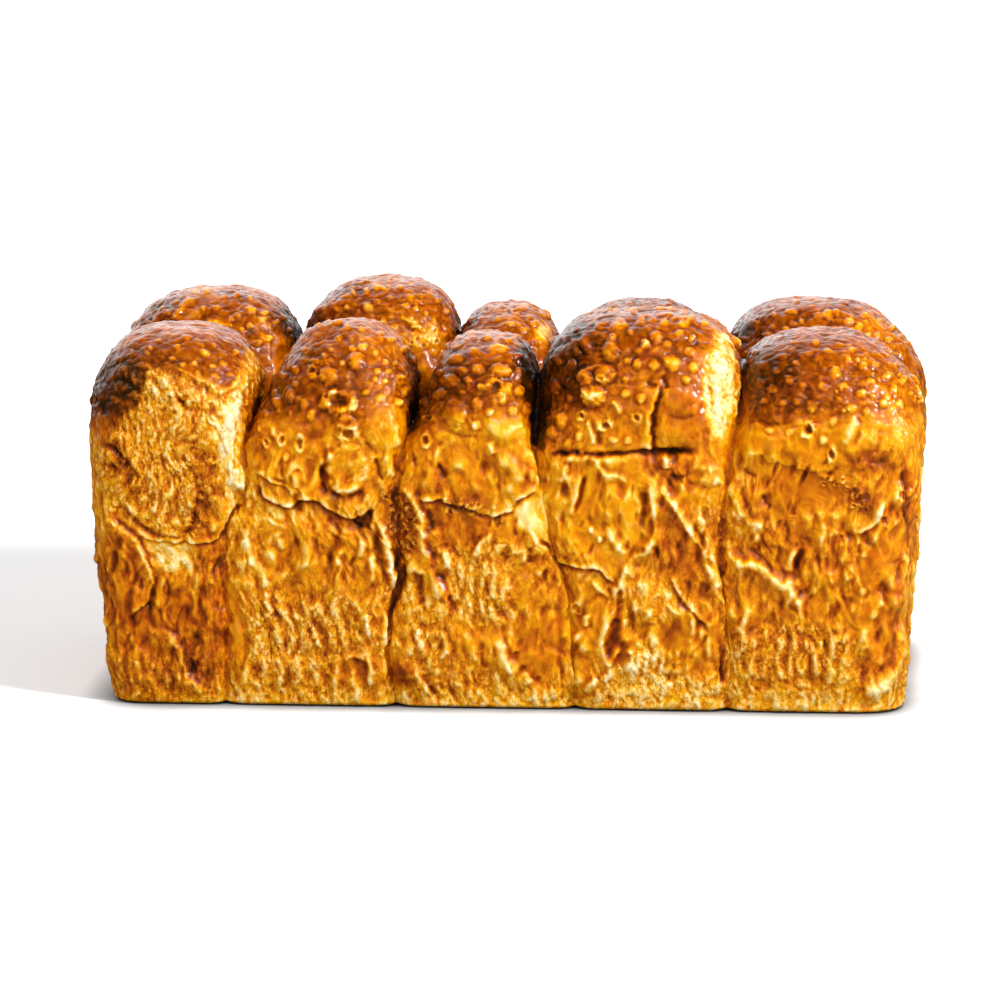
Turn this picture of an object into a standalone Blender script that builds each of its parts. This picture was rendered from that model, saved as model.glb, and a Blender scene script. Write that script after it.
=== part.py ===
"""Brioche loaf baked in a long tin: two rows of five dough balls grown together.

Frame: X runs along the loaf, -Y is the front, Z is up.  The origin is the
centre of the base, and the base lies on z = 0.  Metres.

Each ball of dough filled a cell of the tin and rose over its rim: a straight,
slightly tapered body pressed square by the tin and by its neighbours, and a
round dome on top of it.  The balls touch along the seams on the four sides
and part above the rim, so that deep valleys run between the domes.
"""
import bpy
import bmesh
import math
from mathutils import Vector

# ---- sizes of the whole loaf -------------------------------------------------
BULGE_LEVEL = 0.055        # heights over the base at which sizes are given
RIM_LEVEL = 0.088          # the tin's rim
DOME_LEVEL = 0.094         # the domes begin to close here
TOP_LEVEL = 0.114          # widest spread of the risen dough
HALF_WIDTHS = (0.0572, 0.0607, 0.0628, 0.0642)   # half the loaf's width there
BASE_EDGE = 0.0042         # rounding of the lower edge
OVERLAP = 0.0006           # how far neighbouring balls run into each other
CUT_DEPTH = 0.006          # how far the balls are made past the base, then cut

# ---- seams between the balls, along X, at base, bulge, rim and top level -----
FRONT_SEAMS = {
    "left_end": (-0.1442, -0.1478, -0.1492, -0.1500),
    "seam_12": (-0.1015, -0.1002, -0.0908, -0.0872),
    "seam_23": (-0.0396, -0.0376, -0.0368, -0.0290),
    "seam_34": (0.0256, 0.0200, 0.0134, 0.0130),
    "seam_45": (0.0801, 0.0783, 0.0811, 0.0862),
    "right_end": (0.1442, 0.1478, 0.1492, 0.1500),
}
BACK_SEAMS = {
    "left_end": (-0.1442, -0.1478, -0.1492, -0.1500),
    "seam_12": (-0.0950, -0.0900, -0.0870, -0.0830),
    "seam_23": (-0.0350, -0.0330, -0.0300, -0.0245),
    "seam_34": (0.0215, 0.0180, 0.0160, 0.0150),
    "seam_45": (0.0815, 0.0800, 0.0795, 0.0790),
    "right_end": (0.1442, 0.1478, 0.1492, 0.1500),
}

# ---- the balls: row, seam on the left, seam on the right, crest x, crest z,
#      and the power of the dome's profile (2 is an ellipse, more is flatter) ---
BALLS = {
    "front_1": ("front", "left_end", "seam_12", -0.1180, 0.1353, 2.45),
    "front_2": ("front", "seam_12", "seam_23", -0.0565, 0.1369, 2.30),
    "front_3": ("front", "seam_23", "seam_34", -0.0070, 0.1318, 3.20),
    "front_4": ("front", "seam_34", "seam_45", 0.0510, 0.1418, 2.55),
    "front_5": ("front", "seam_45", "right_end", 0.1110, 0.1343, 2.40),
    "back_1": ("back", "left_end", "seam_12", -0.1160, 0.1378, 2.45),
    "back_2": ("back", "seam_12", "seam_23", -0.0540, 0.1418, 2.45),
    "back_3": ("back", "seam_23", "seam_34", -0.0060, 0.1331, 3.00),
    "back_4": ("back", "seam_34", "seam_45", 0.0470, 0.1350, 2.55),
    "back_5": ("back", "seam_45", "right_end", 0.1100, 0.1354, 2.50),
}

# ---- squareness of a ball's outline: a high power is a tight corner ----------
SEAM_POWER = 15.0          # between balls, in the tin
END_POWER = 4.6            # at the loaf's four upright corners
DOME_POWER = 2.7           # round over the rim
GRID = 8                   # cuts across each side of a ball's cage
DOME_SHARE = 0.40          # share of the cage's height that becomes dome
TOP_SHARE = 0.60           # share of the dome's turn that its top face makes

# ---- the grown-together middle ------------------------------------------------
CORE_HALF_LENGTH = 0.131
CORE_HALF_WIDTH = 0.046
CORE_TOP = 0.100

CRUST_COLOUR = (0.42, 0.16, 0.028, 1.0)


def smooth(t):
    t = min(max(t, 0.0), 1.0)
    return t * t * (3.0 - 2.0 * t)


def at_height(levels, z):
    """A size given at the base, bulge, rim and top level, at any height."""
    heights = (0.0, BULGE_LEVEL, RIM_LEVEL, TOP_LEVEL)
    z = min(max(z, 0.0), TOP_LEVEL)
    for i in range(3):
        if z <= heights[i + 1]:
            t = (z - heights[i]) / (heights[i + 1] - heights[i])
            return levels[i] + (levels[i + 1] - levels[i]) * smooth(t)
    return levels[3]


def ball_outline(ball, z):
    """Centre, half sizes and end-corner direction of a ball at a height."""
    row, left, right, crest_x, crest_z, power = BALLS[ball]
    seams = FRONT_SEAMS if row == "front" else BACK_SEAMS
    x0 = at_height(seams[left], z) - (OVERLAP if left != "left_end" else 0.0)
    x1 = at_height(seams[right], z) + (OVERLAP if right != "right_end" else 0.0)
    half_width = at_height(HALF_WIDTHS, z)
    way = -1.0 if row == "front" else 1.0
    y_out, y_in = way * half_width, -way * OVERLAP
    cx, cy = (x0 + x1) / 2, (y_out + y_in) / 2
    hx, hy = (x1 - x0) / 2, abs(y_out - y_in) / 2
    end = -1.0 if left == "left_end" else 1.0 if right == "right_end" else 0.0
    rise = (z - DOME_LEVEL) / (crest_z - DOME_LEVEL)
    if rise > 0.0:             # the dome leans towards its crest
        cx += (crest_x - cx) * smooth(rise)
    return cx, cy, hx, hy, end, way


def corner_power(z, end, way, ux, uy):
    """How square the outline is in one direction at a height."""
    over = smooth((z - 0.082) / 0.036)
    at_end = max(0.0, end * ux) * max(0.0, way * uy) * 2.0
    in_tin = SEAM_POWER + (END_POWER - SEAM_POWER) * smooth(at_end * 1.15)
    return in_tin + (DOME_POWER - in_tin) * over


def place(ball, px, py, z, scale):
    """The point of a ball's outline in one direction, at a height and scale."""
    cx, cy, hx, hy, end, way = ball_outline(ball, z)
    r = max(abs(px), abs(py))
    if r > 1e-9:
        ux, uy = px / r, py / r
        n = math.hypot(ux, uy)
        power = corner_power(z, end, way, ux / n, uy / n)
        k = (abs(ux) ** power + abs(uy) ** power) ** (1.0 / power)
        ux, uy = ux / k, uy / k
    else:
        ux = uy = 0.0
    inset = 0.0
    if z < BASE_EDGE:
        drop = 1.0 - max(z, 0.0) / BASE_EDGE
        inset = BASE_EDGE * (1.0 - math.sqrt(max(0.0, 1.0 - drop * drop)))
    return Vector((cx + (hx - inset) * scale * ux, cy + (hy - inset) * scale * uy, z))


def ball_surface(ball, px, py, pz):
    """Where a point of the cage's cube, -1 to 1 each way, goes."""
    crest_z, power = BALLS[ball][4:6]
    r = max(abs(px), abs(py))
    down = (1.0 - pz) / 2                           # 0 at the top, 1 at the foot
    if down < 0.001 or down <= DOME_SHARE:          # the dome
        angle = 1.0 - TOP_SHARE * r if down < 0.001 else (1.0 - TOP_SHARE) * (
            1.0 - down / DOME_SHARE)
        angle *= math.pi / 2
        scale = math.cos(angle) ** (2.0 / power)
        z = DOME_LEVEL + (crest_z - DOME_LEVEL) * math.sin(angle) ** (2.0 / power)
        return place(ball, px, py, z, scale)
    if down < 0.999:                                # the wall under the dome
        t = (down - DOME_SHARE) / (1.0 - 1.0 / (GRID + 1) - DOME_SHARE)
        z = DOME_LEVEL + (BASE_EDGE * 0.6 - DOME_LEVEL) * min(t, 1.0)
        return place(ball, px, py, z, 1.0)
    return place(ball, px, py, -CUT_DEPTH, r)       # the foot, under the base


def link(mesh, name, collection):
    obj = bpy.data.objects.new(name, mesh)
    collection.objects.link(obj)
    return obj


def dough_ball(ball, collection):
    """One ball: a subdivided cube pushed to the shape the tin gave it."""
    bm = bmesh.new()
    bmesh.ops.create_cube(bm, size=2.0)
    bmesh.ops.subdivide_edges(bm, edges=bm.edges[:], cuts=GRID, use_grid_fill=True)
    for v in bm.verts:
        v.co = ball_surface(ball, *v.co)
    bmesh.ops.recalc_face_normals(bm, faces=bm.faces[:])
    mesh = bpy.data.meshes.new(ball)
    bm.to_mesh(mesh)
    bm.free()
    return link(mesh, "ball_" + ball, collection)


def block(name, low, high, collection):
    bm = bmesh.new()
    bmesh.ops.create_cube(bm, size=1.0)
    for v in bm.verts:
        v.co = Vector([lo + (hi - lo) * (c + 0.5) for c, lo, hi in zip(v.co, low, high)])
    mesh = bpy.data.meshes.new(name)
    bm.to_mesh(mesh)
    bm.free()
    return link(mesh, name, collection)


def boolean(obj, other, operation):
    m = obj.modifiers.new(operation.lower() + "_" + other.name, "BOOLEAN")
    m.operation = operation
    m.solver = "EXACT"
    m.object = other


def crust_material():
    mat = bpy.data.materials.new("crust")
    mat.use_nodes = True
    shader = mat.node_tree.nodes["Principled BSDF"]
    shader.inputs["Base Color"].default_value = CRUST_COLOUR
    shader.inputs["Roughness"].default_value = 0.38
    shader.inputs["Metallic"].default_value = 0.0
    mat.diffuse_color = CRUST_COLOUR
    return mat


def main():
    for obj in list(bpy.data.objects):
        bpy.data.objects.remove(obj, do_unlink=True)
    scene = bpy.context.scene
    parts = bpy.data.collections.new("brioche_loaf")
    cutters = bpy.data.collections.new("cutters")
    scene.collection.children.link(parts)
    scene.collection.children.link(cutters)

    # the middle of the loaf, where the balls have grown together
    loaf = block(
        "loaf",
        (-CORE_HALF_LENGTH, -CORE_HALF_WIDTH, -CUT_DEPTH),
        (CORE_HALF_LENGTH, CORE_HALF_WIDTH, CORE_TOP),
        parts,
    )
    for ball in BALLS:
        other = dough_ball(ball, cutters)
        other.hide_render = True
        other.display_type = "WIRE"
        boolean(loaf, other, "UNION")

    # the tin's flat bottom
    tin_floor = block("tin_floor", (-0.2, -0.1, -0.03), (0.2, 0.1, 0.0), cutters)
    tin_floor.hide_render = True
    tin_floor.display_type = "WIRE"
    boolean(loaf, tin_floor, "DIFFERENCE")

    loaf.data.materials.append(crust_material())
    loaf.data.shade_smooth()


main()
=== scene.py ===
import math
import time
import bpy
import numpy as np
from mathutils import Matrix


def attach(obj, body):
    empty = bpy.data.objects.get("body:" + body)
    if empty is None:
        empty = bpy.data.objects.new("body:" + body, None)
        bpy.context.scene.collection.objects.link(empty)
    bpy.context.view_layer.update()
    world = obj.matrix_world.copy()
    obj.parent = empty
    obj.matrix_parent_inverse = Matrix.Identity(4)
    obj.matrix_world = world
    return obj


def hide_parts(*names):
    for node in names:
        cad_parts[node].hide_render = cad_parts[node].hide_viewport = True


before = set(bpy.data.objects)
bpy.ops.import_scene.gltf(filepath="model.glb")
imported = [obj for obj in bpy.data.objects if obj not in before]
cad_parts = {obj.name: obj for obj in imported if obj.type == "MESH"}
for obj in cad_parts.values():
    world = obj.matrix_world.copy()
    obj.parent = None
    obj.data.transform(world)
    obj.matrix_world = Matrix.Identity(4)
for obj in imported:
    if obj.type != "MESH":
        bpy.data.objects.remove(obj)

import openvdb
from mathutils import Vector, Matrix

T0 = time.time()
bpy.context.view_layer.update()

# =============================================================================
# Camera.  Everything below is in millimetres in the loaf's own frame, and is
# turned into metres when the mesh is made.
# =============================================================================
CAM = dict(az=5.6, el=12.55, roll=-0.62, dist=1750.0, focal=4750.0, aim=(-6.4, 0.0, 64.2))


def camera_axes():
    a, e, r = (math.radians(CAM[k]) for k in ("az", "el", "roll"))
    fwd = np.array([-math.sin(a) * math.cos(e), math.cos(a) * math.cos(e), -math.sin(e)])
    right = np.array([math.cos(a), math.sin(a), 0.0])
    up = np.cross(right, fwd)
    turned = right * math.cos(r) + up * math.sin(r), -right * math.sin(r) + up * math.cos(r)
    return np.array([turned[0], turned[1], fwd]), np.array(CAM["aim"]) - fwd * CAM["dist"]


CAM_AXES, CAM_POS = camera_axes()


def picture(p):
    """Where points fall in the 1000 x 1000 picture."""
    q = (p - CAM_POS) @ CAM_AXES.T
    return np.stack([500 + CAM["focal"] * q[:, 0] / q[:, 2],
                     500 - CAM["focal"] * q[:, 1] / q[:, 2]], 1)


# =============================================================================
# Small helpers
# =============================================================================
def smooth(t):
    t = np.clip(t, 0.0, 1.0)
    return t * t * (3.0 - 2.0 * t)


def ramp(a, b, v):
    """0 below a, 1 above b (or the other way round), smooth between."""
    return smooth((v - a) / (b - a))


def mix(a, b, t):
    return a + (b - a) * t


def noise(p, seed):
    """Gradient noise, about -1 to 1."""
    rng = np.random.default_rng(1000 + seed)
    perm = rng.permutation(256)
    perm = np.concatenate([perm, perm, perm])
    grad = rng.normal(size=(256, 3))
    grad = (grad / np.linalg.norm(grad, axis=1)[:, None]).astype(np.float32)
    p = np.asarray(p, np.float32)
    cell = np.floor(p).astype(np.int32)
    f = p - cell
    cell &= 255
    w = f * f * f * (f * (f * 6 - 15) + 10)
    out = np.zeros(len(p), np.float32)
    for dx in (0, 1):
        wx = w[:, 0] if dx else 1 - w[:, 0]
        hx = perm[cell[:, 0] + dx]
        for dy in (0, 1):
            wy = w[:, 1] if dy else 1 - w[:, 1]
            hy = perm[hx + cell[:, 1] + dy]
            for dz in (0, 1):
                wz = w[:, 2] if dz else 1 - w[:, 2]
                g = grad[perm[hy + cell[:, 2] + dz]]
                dot = g[:, 0] * (f[:, 0] - dx) + g[:, 1] * (f[:, 1] - dy) + g[:, 2] * (f[:, 2] - dz)
                out += wx * wy * wz * dot
    return out * 1.6


def fbm(p, octaves, seed, gain=0.5):
    total, size, high = 0.0, 1.0, 0.0
    for i in range(octaves):
        total = total + noise(p * 2.03 ** i + 17.3 * i, seed + i) * size
        high += size
        size *= gain
    return total / high


# =============================================================================
# The loaf's form: ten balls of dough in two rows, as in the solid, with the
# seams' finer course on the front
# =============================================================================
BULGE, RIM, DOME, TOP = 55.0, 88.0, 94.0, 114.0
HALF_WIDTHS = (57.2, 60.7, 62.8, 64.2)
BASE_EDGE, OVERLAP = 1.5, 0.6

# x of each front seam at heights over the base
FRONT_SEAMS = {
    "left_end": ((0, -144.2), (30, -146.4), (55, -148.0), (88, -149.8), (114, -151.6)),
    "seam_12": ((0, -102.0), (12, -99.8), (38, -100.0), (58, -100.9), (66, -99.8), (74, -95.8),
                (80, -91.6), (85, -90.6), (90, -91.8), (98, -91.8), (106, -89.8), (118, -87.0)),
    "seam_23": ((0, -38.8), (9, -40.4), (20, -42.4), (30, -41.9), (40, -39.8), (52, -37.2),
                (82, -37.6), (90, -36.6), (98, -34.0), (110, -30.5), (118, -29.0)),
    "seam_34": ((0, 25.6), (24, 24.4), (40, 23.7), (51, 21.2), (60, 17.8), (72, 15.6), (84, 13.8),
                (93, 12.2), (118, 11.4)),
    "seam_45": ((0, 80.0), (10, 80.6), (22, 81.2), (33, 79.9), (47, 78.3), (62, 78.0), (74, 79.4),
                (84, 80.8), (95, 81.4), (106, 84.0), (118, 86.4)),
    "right_end": ((0, 143.4), (30, 144.4), (55, 145.2), (88, 148.2), (114, 151.8)),
}
# over the rim three balls keep clear of the next one
FRONT_SEAMS["side_1"] = FRONT_SEAMS["seam_12"][:9] + ((98, -92.9), (106, -91.6), (118, -89.4))
FRONT_SEAMS["side_2"] = FRONT_SEAMS["seam_23"][:8] + ((98, -35.4), (110, -33.2), (118, -32.2))
FRONT_SEAMS["side_3"] = FRONT_SEAMS["seam_34"][:7] + ((91, 12.0), (98, 10.6), (108, 10.0), (118, 9.8))
BACK_SEAMS = {
    "left_end": ((0, -144.2), (30, -146.4), (55, -148.0), (88, -149.8), (114, -152.6)),
    "seam_12": ((0, -95.0), (30, -92.4), (60, -89.0), (88, -87.0), (116, -83.0)),
    "seam_23": ((0, -35.0), (26, -35.6), (60, -31.8), (88, -29.4), (116, -23.0)),
    "seam_34": ((0, 21.5), (34, 20.2), (60, 16.8), (88, 16.4), (116, 16.2)),
    "seam_45": ((0, 81.5), (28, 80.0), (60, 80.6), (88, 79.0), (116, 77.6)),
    "right_end": FRONT_SEAMS["right_end"],
}
# row, left seam, right seam, crest x, crest y from the ball's middle, crest z, profile power
BALLS = {
    "front_1": (-1, "left_end", "side_1", -118.5, 0.0, 135.0, 2.8),
    "front_2": (-1, "seam_12", "side_2", -56.5, 0.0, 136.9, 2.30),
    "front_3": (-1, "seam_23", "side_3", -7.0, 0.0, 131.8, 3.20),
    "front_4": (-1, "seam_34", "seam_45", 48.8, 0.0, 140.8, 3.25),
    "front_5": (-1, "seam_45", "right_end", 111.0, 0.0, 134.2, 2.75),
    "back_1": (1, "left_end", "seam_12", -115.5, 0.0, 136.8, 2.8),
    "back_2": (1, "seam_12", "seam_23", -51.2, 0.0, 141.3, 3.0),
    "back_3": (1, "seam_23", "seam_34", -6.4, 0.0, 131.6, 2.9),
    "back_4": (1, "seam_34", "seam_45", 44.0, 0.0, 133.0, 2.6),
    "back_5": (1, "seam_45", "right_end", 107.0, 0.0, 134.6, 2.6),
}
NAMES = list(BALLS)
SEAM_POWER, END_POWER, DOME_POWER = 10.5, 4.6, 2.7
CORE = (131.0, 46.0, 100.0)


def course(points, z):
    """A smooth curve through a seam's points."""
    zs = np.array([q[0] for q in points], float)
    xs = np.array([q[1] for q in points], float)
    fine = np.linspace(zs[0], zs[-1], 160)
    x = np.interp(fine, zs, xs)
    k = np.exp(-0.5 * (np.arange(-9, 10) / 3.6) ** 2)
    k /= k.sum()
    x = np.convolve(np.pad(x, 9, mode="edge"), k, mode="valid")
    return np.interp(np.clip(z, zs[0], zs[-1]), fine, x)


def outline(ball, z):
    row, left, right, crest_x, crest_dy, crest_z, power = BALLS[ball]
    seams = FRONT_SEAMS if row < 0 else BACK_SEAMS
    x0 = course(seams[left], z) - (0.0 if left == "left_end" else OVERLAP)
    x1 = course(seams[right], z) + (0.0 if right == "right_end" else OVERLAP)
    w = course(tuple(zip((0, BULGE, RIM, TOP), HALF_WIDTHS)), z)
    y_out, y_in = row * w, -row * OVERLAP
    cx, cy, hx, hy = (x0 + x1) / 2, (y_out + y_in) / 2, (x1 - x0) / 2, abs(y_out - y_in) / 2
    rise = smooth((z - DOME) / (crest_z - DOME))
    cx = cx + (crest_x - cx) * rise
    cy = cy + crest_dy * rise
    end = -1.0 if left == "left_end" else 1.0 if right == "right_end" else 0.0
    return cx, cy, hx, hy, end, row


def ball_field(ball, x, y, z):
    """Negative inside, positive outside, about in millimetres."""
    crest_z, power = BALLS[ball][5:7]
    cx, cy, hx, hy, end, row = outline(ball, z)
    drop = np.clip(1.0 - np.clip(z, 0, None) / BASE_EDGE, 0, 1)
    inset = BASE_EDGE * (1.0 - np.sqrt(1.0 - drop * drop))
    u = (x - cx) / (hx - inset)
    v = (y - cy) / (hy - inset)
    n = np.sqrt(u * u + v * v) + 1e-6
    at_end = np.maximum(0, end * u / n) * np.maximum(0, row * v / n) * 2.0
    in_tin = SEAM_POWER + (END_POWER - SEAM_POWER) * smooth(at_end * 1.15)
    p = in_tin + (DOME_POWER - in_tin) * smooth((z - 80.0) / 36.0)
    au, av = np.abs(u) + 1e-6, np.abs(v) + 1e-6
    big, small = np.maximum(au, av), np.minimum(au, av)
    g = big * (1.0 + (small / big) ** p) ** (1.0 / p)
    t = np.clip((z - DOME) / (crest_z - DOME), 0, None)
    g = (g ** power + t ** power) ** (1.0 / power) - 1.0
    return g * np.minimum(hx, hy)


VOXEL = 1.0
BLEND = 1.6               # how far the balls run together in a seam


def loaf_surface():
    low = np.array([-153.0, -67.5, -3.0])
    size = np.ceil((np.array([153.0, 67.5, 145.5]) - low) / VOXEL).astype(int) + 1
    xs, ys, zs = (low[i] + np.arange(size[i]) * VOXEL for i in range(3))
    field = np.full(size, 5.0, np.float32)
    for ball, (row, left, right, crest_x, _, crest_z, _) in BALLS.items():
        seams = FRONT_SEAMS if row < 0 else BACK_SEAMS
        x_low = min(q[1] for q in seams[left]) - 5
        x_high = max(q[1] for q in seams[right]) + 5
        i = slice(np.searchsorted(xs, x_low), np.searchsorted(xs, x_high))
        j = slice(0, np.searchsorted(ys, 4.0)) if row < 0 else slice(np.searchsorted(ys, -4.0), len(ys))
        z = zs[None, None, :]
        f = ball_field(ball, xs[i, None, None], ys[None, j, None], z)
        was, f = field[i, j, :], f.astype(np.float32)
        near = np.maximum(BLEND - np.abs(was - f), 0) / BLEND
        field[i, j, :] = np.minimum(was, f) - near * near * BLEND * 0.25
    core = np.maximum(np.maximum((np.abs(xs) - CORE[0])[:, None, None], (np.abs(ys) - CORE[1])[None, :, None]),
                      (zs - CORE[2])[None, None, :])
    field = np.minimum(field, core.astype(np.float32))
    field = np.maximum(field, -zs[None, None, :].astype(np.float32))
    field = np.clip(field, -3.0, 3.0)
    grid = openvdb.FloatGrid(3.0)
    grid.copyFromArray(np.ascontiguousarray(field), tolerance=0.0)
    points, quads = grid.convertToQuads(isovalue=0.0)
    return points * VOXEL + low, quads.astype(np.int64)


def finer(points, quads, wanted):
    """Split the wanted quads in four, with no gap to the others."""
    m = len(quads)
    a, b = quads, np.roll(quads, -1, axis=1)
    lo, hi = np.minimum(a, b), np.maximum(a, b)
    key = (lo * len(points) + hi).ravel()
    uniq, first, back = np.unique(key, return_index=True, return_inverse=True)
    edge = back.reshape(m, 4)
    split = np.zeros(len(uniq), bool)
    split[edge[wanted].ravel()] = True
    ends = np.stack([lo.ravel()[first], hi.ravel()[first]], 1)[split]
    number = np.full(len(uniq), -1)
    number[split] = len(points) + np.arange(split.sum())
    mids = points[ends].mean(1)
    centre = len(points) + len(mids) + np.arange(wanted.sum())
    new = np.concatenate([points, mids, points[quads[wanted]].mean(1)])
    q, e = quads[wanted], number[edge[wanted]]
    four = [np.stack([q[:, k], e[:, k], centre, e[:, k - 1]], 1) for k in range(4)]
    whole = ~wanted & ~split[edge].any(1)
    loops = [np.concatenate(four).ravel(), quads[whole].ravel()]
    sizes = [np.full(4 * wanted.sum(), 4), np.full(whole.sum(), 4)]
    for k in np.nonzero(~wanted & split[edge].any(1))[0]:
        ring = []
        for c in range(4):
            ring.append(quads[k, c])
            if split[edge[k, c]]:
                ring.append(number[edge[k, c]])
        loops.append(np.array(ring))
        sizes.append(np.array([len(ring)]))
    return new, np.concatenate(loops), np.concatenate(sizes)


def mesh_from(points, loops, sizes, name):
    mesh = bpy.data.meshes.new(name)
    mesh.vertices.add(len(points))
    mesh.vertices.foreach_set("co", np.ascontiguousarray(points, np.float32).ravel())
    mesh.loops.add(len(loops))
    mesh.loops.foreach_set("vertex_index", loops.astype(np.int32))
    mesh.polygons.add(len(sizes))
    mesh.polygons.foreach_set("loop_start", np.concatenate([[0], np.cumsum(sizes)[:-1]]).astype(np.int32))
    mesh.update(calc_edges=True)
    mesh.validate()
    return mesh


def normals_of(mesh):
    out = np.empty(len(mesh.vertices) * 3, np.float32)
    mesh.vertex_normals.foreach_get("vector", out)
    return out.reshape(-1, 3).astype(float)


points, quads = loaf_surface()
print("surface", len(points), len(quads), round(time.time() - T0, 1))
corner = points[quads]
face_n = np.cross(corner[:, 2] - corner[:, 0], corner[:, 3] - corner[:, 1])
face_n /= np.linalg.norm(face_n, axis=1)[:, None] + 1e-12
mid = corner.mean(1)
to_cam = CAM_POS - mid
to_cam /= np.linalg.norm(to_cam, axis=1)[:, None]
facing = (face_n * to_cam).sum(1)
front = (facing > 0.02) & ((mid[:, 1] < 0) & (face_n[:, 1] < 0.35) | (mid[:, 2] > 118)) & (mid[:, 2] > 0.5)
points, loops, sizes = finer(points, quads, front)
mesh = mesh_from(points, loops, sizes, "loaf_crust")
print("finer", len(points), len(sizes), round(time.time() - T0, 1))

P = points.copy()
N = normals_of(mesh)
if (N * (P - P.mean(0))).sum() < 0:
    raise RuntimeError("the loaf is inside out")
UV = picture(P)
VIEW = CAM_POS - P
VIEW /= np.linalg.norm(VIEW, axis=1)[:, None]
SEEN = (N * VIEW).sum(1)

# which ball each point belongs to, and its place on that ball
field = np.stack([ball_field(b, P[:, 0], P[:, 1], P[:, 2]) for b in NAMES], 1)
BALL = field.argmin(1)
gap = np.sort(field, axis=1)[:, 1] - np.sort(field, axis=1)[:, 0]     # small in a seam
print("balls", round(time.time() - T0, 1))

# =============================================================================
# Working arrays: H moves each point out along its normal (mm), TONE is how pale
# the crust is there, with painted shade and light added in places (0 nearly black,
# 1 cream), LACE how torn and stringy its skin is, CALM how little it is dimpled,
# GLOSS how shiny, PLUM and MOSS two tints of dark crust
# =============================================================================
ROW = np.array([BALLS[b][0] for b in NAMES])[BALL]
n = len(P)
H, TONE, LACE = np.zeros(n), np.zeros(n), np.zeros(n)
GLOSS, PLUM, MOSS, CALM = np.zeros(n), np.zeros(n), np.zeros(n), np.zeros(n)
WOB = np.stack([noise(P / 3.4, 11) + 0.5 * noise(P / 1.5, 13),
                noise(P / 3.4, 12) + 0.5 * noise(P / 1.5, 14)], 1)
RAG = noise(P / 1.25, 17)
BROAD = noise(P / 17.0, 15)
MID = noise(P / 7.0, 16)

LIT = {}
for row in (-1, 1):
    ids = np.nonzero((ROW == row) & (SEEN > -0.02) & ((row < 0) | (P[:, 2] > 96.0)))[0]
    ids = ids[np.argsort(UV[ids, 0], kind="stable")]
    LIT[row] = (ids, UV[ids, 0], UV[ids, 1])
EDGE_ON = ramp(-0.02, 0.14, SEEN)


def within(x0, x1, y0, y1, row):
    """The points of a row that the picture shows in a rectangle."""
    ids, u, v = LIT[row]
    a, b = np.searchsorted(u, (x0, x1))
    return ids[a:b][(v[a:b] > y0) & (v[a:b] < y1)]


def curve(points, step=1.5):
    """A smooth line through points, as short straight pieces."""
    p = np.array(points, float)
    q = np.vstack([2 * p[0] - p[1], p, 2 * p[-1] - p[-2]])
    out = []
    for a, b, c, d in zip(q[:-3], q[1:-2], q[2:-1], q[3:]):
        m = max(1, int(np.hypot(*(c - b)) / step))
        t = np.arange(m)[:, None] / m
        out.append(0.5 * (2 * b + (c - a) * t + (2 * a - 5 * b + 4 * c - d) * t ** 2
                          + (3 * b - a - 3 * c + d) * t ** 3))
    return np.vstack(out + [p[-1:]])


def along(points, reach, row, wobble, ends):
    """Points near a line: their distance from it, on which side (plus is above
    a line that runs right, and right of one that runs down), and how much of
    the feature is left where it runs out."""
    line = curve(points)
    ids = within(line[:, 0].min() - reach, line[:, 0].max() + reach,
                 line[:, 1].min() - reach, line[:, 1].max() + reach, row)
    q = UV[ids] + WOB[ids] * wobble
    a, b = line[:-1], line[1:]
    way = b - a
    size = np.hypot(way[:, 0], way[:, 1]) + 1e-9
    start = np.concatenate([[0], np.cumsum(size)])[:-1]
    best = np.full(len(ids), 1e9)
    side, pos = np.zeros(len(ids)), np.zeros(len(ids))
    for k in range(len(a)):
        wx, wy = q[:, 0] - a[k, 0], q[:, 1] - a[k, 1]
        ux, uy = way[k] / size[k]
        t = np.clip(wx * ux + wy * uy, 0, size[k])
        d = np.hypot(wx - t * ux, wy - t * uy)
        m = d < best
        best[m] = d[m]
        side[m] = np.sign(uy * wx - ux * wy)[m]
        pos[m] = start[k] + t[m]
    near = best < reach
    ids, best, side, pos = ids[near], best[near], side[near], pos[near] / size.sum()
    left = smooth(pos / max(ends[0], 1e-3)) * smooth((1 - pos) / max(ends[1], 1e-3))
    return ids, best, best * side, left * EDGE_ON[ids]


def groove(points, w=2.0, deep=0.8, dark=0.3, row=-1, wobble=1.1, ends=(0.25, 0.25)):
    """A crease: two soft shoulders that meet in a sharp line; dark paints shade along the crease."""
    ids, d, s, k = along(points, w * 4 + 3, row, wobble, ends)
    H[ids] -= deep * k * (0.55 * np.exp(-(d / w) ** 2) + 0.60 * np.exp(-d / (w * 1.1)))
    TONE[ids] -= 0.32 * dark * k * np.exp(-(d / (w * 1.1)) ** 2)


def ridge(points, w=3.0, high=0.7, pale=0.16, row=-1, wobble=1.1, ends=(0.25, 0.25)):
    ids, d, s, k = along(points, w * 4.5 + 2, row, wobble, ends)
    w = w * 1.7
    H[ids] += 1.55 * high * k * np.exp(-(d / w) ** 1.6)
    # pale lightens the crest: partly the paler crust of a stretched ridge, partly a painted highlight
    TONE[ids] += 0.36 * pale * k * np.exp(-(d / (w * 0.75)) ** 2)


def fold(points, up=10.0, down=2.2, high=1.2, pale=0.14, dark=0.22, row=-1, wobble=1.1,
         ends=(0.2, 0.2)):
    """A ridge that slopes off gently on its plus side and drops on its other; pale lightens it by the crest, partly
    paler crust and partly a painted highlight, and dark is painted shade at the foot of the drop.
    """
    ids, d, s, k = along(points, max(up * 2.2, down * 5), row, wobble, ends)
    H[ids] += 1.45 * high * k * np.where(s > 0, np.exp(-(d / up) ** 1.25), np.exp(-(d / down) ** 1.6))
    TONE[ids] += k * (0.36 * pale * np.exp(-((s - 1.4) / 3.2) ** 2)
                      - 0.35 * dark * np.exp(-((s + down * 1.7) / (down * 1.2)) ** 2))


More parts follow.
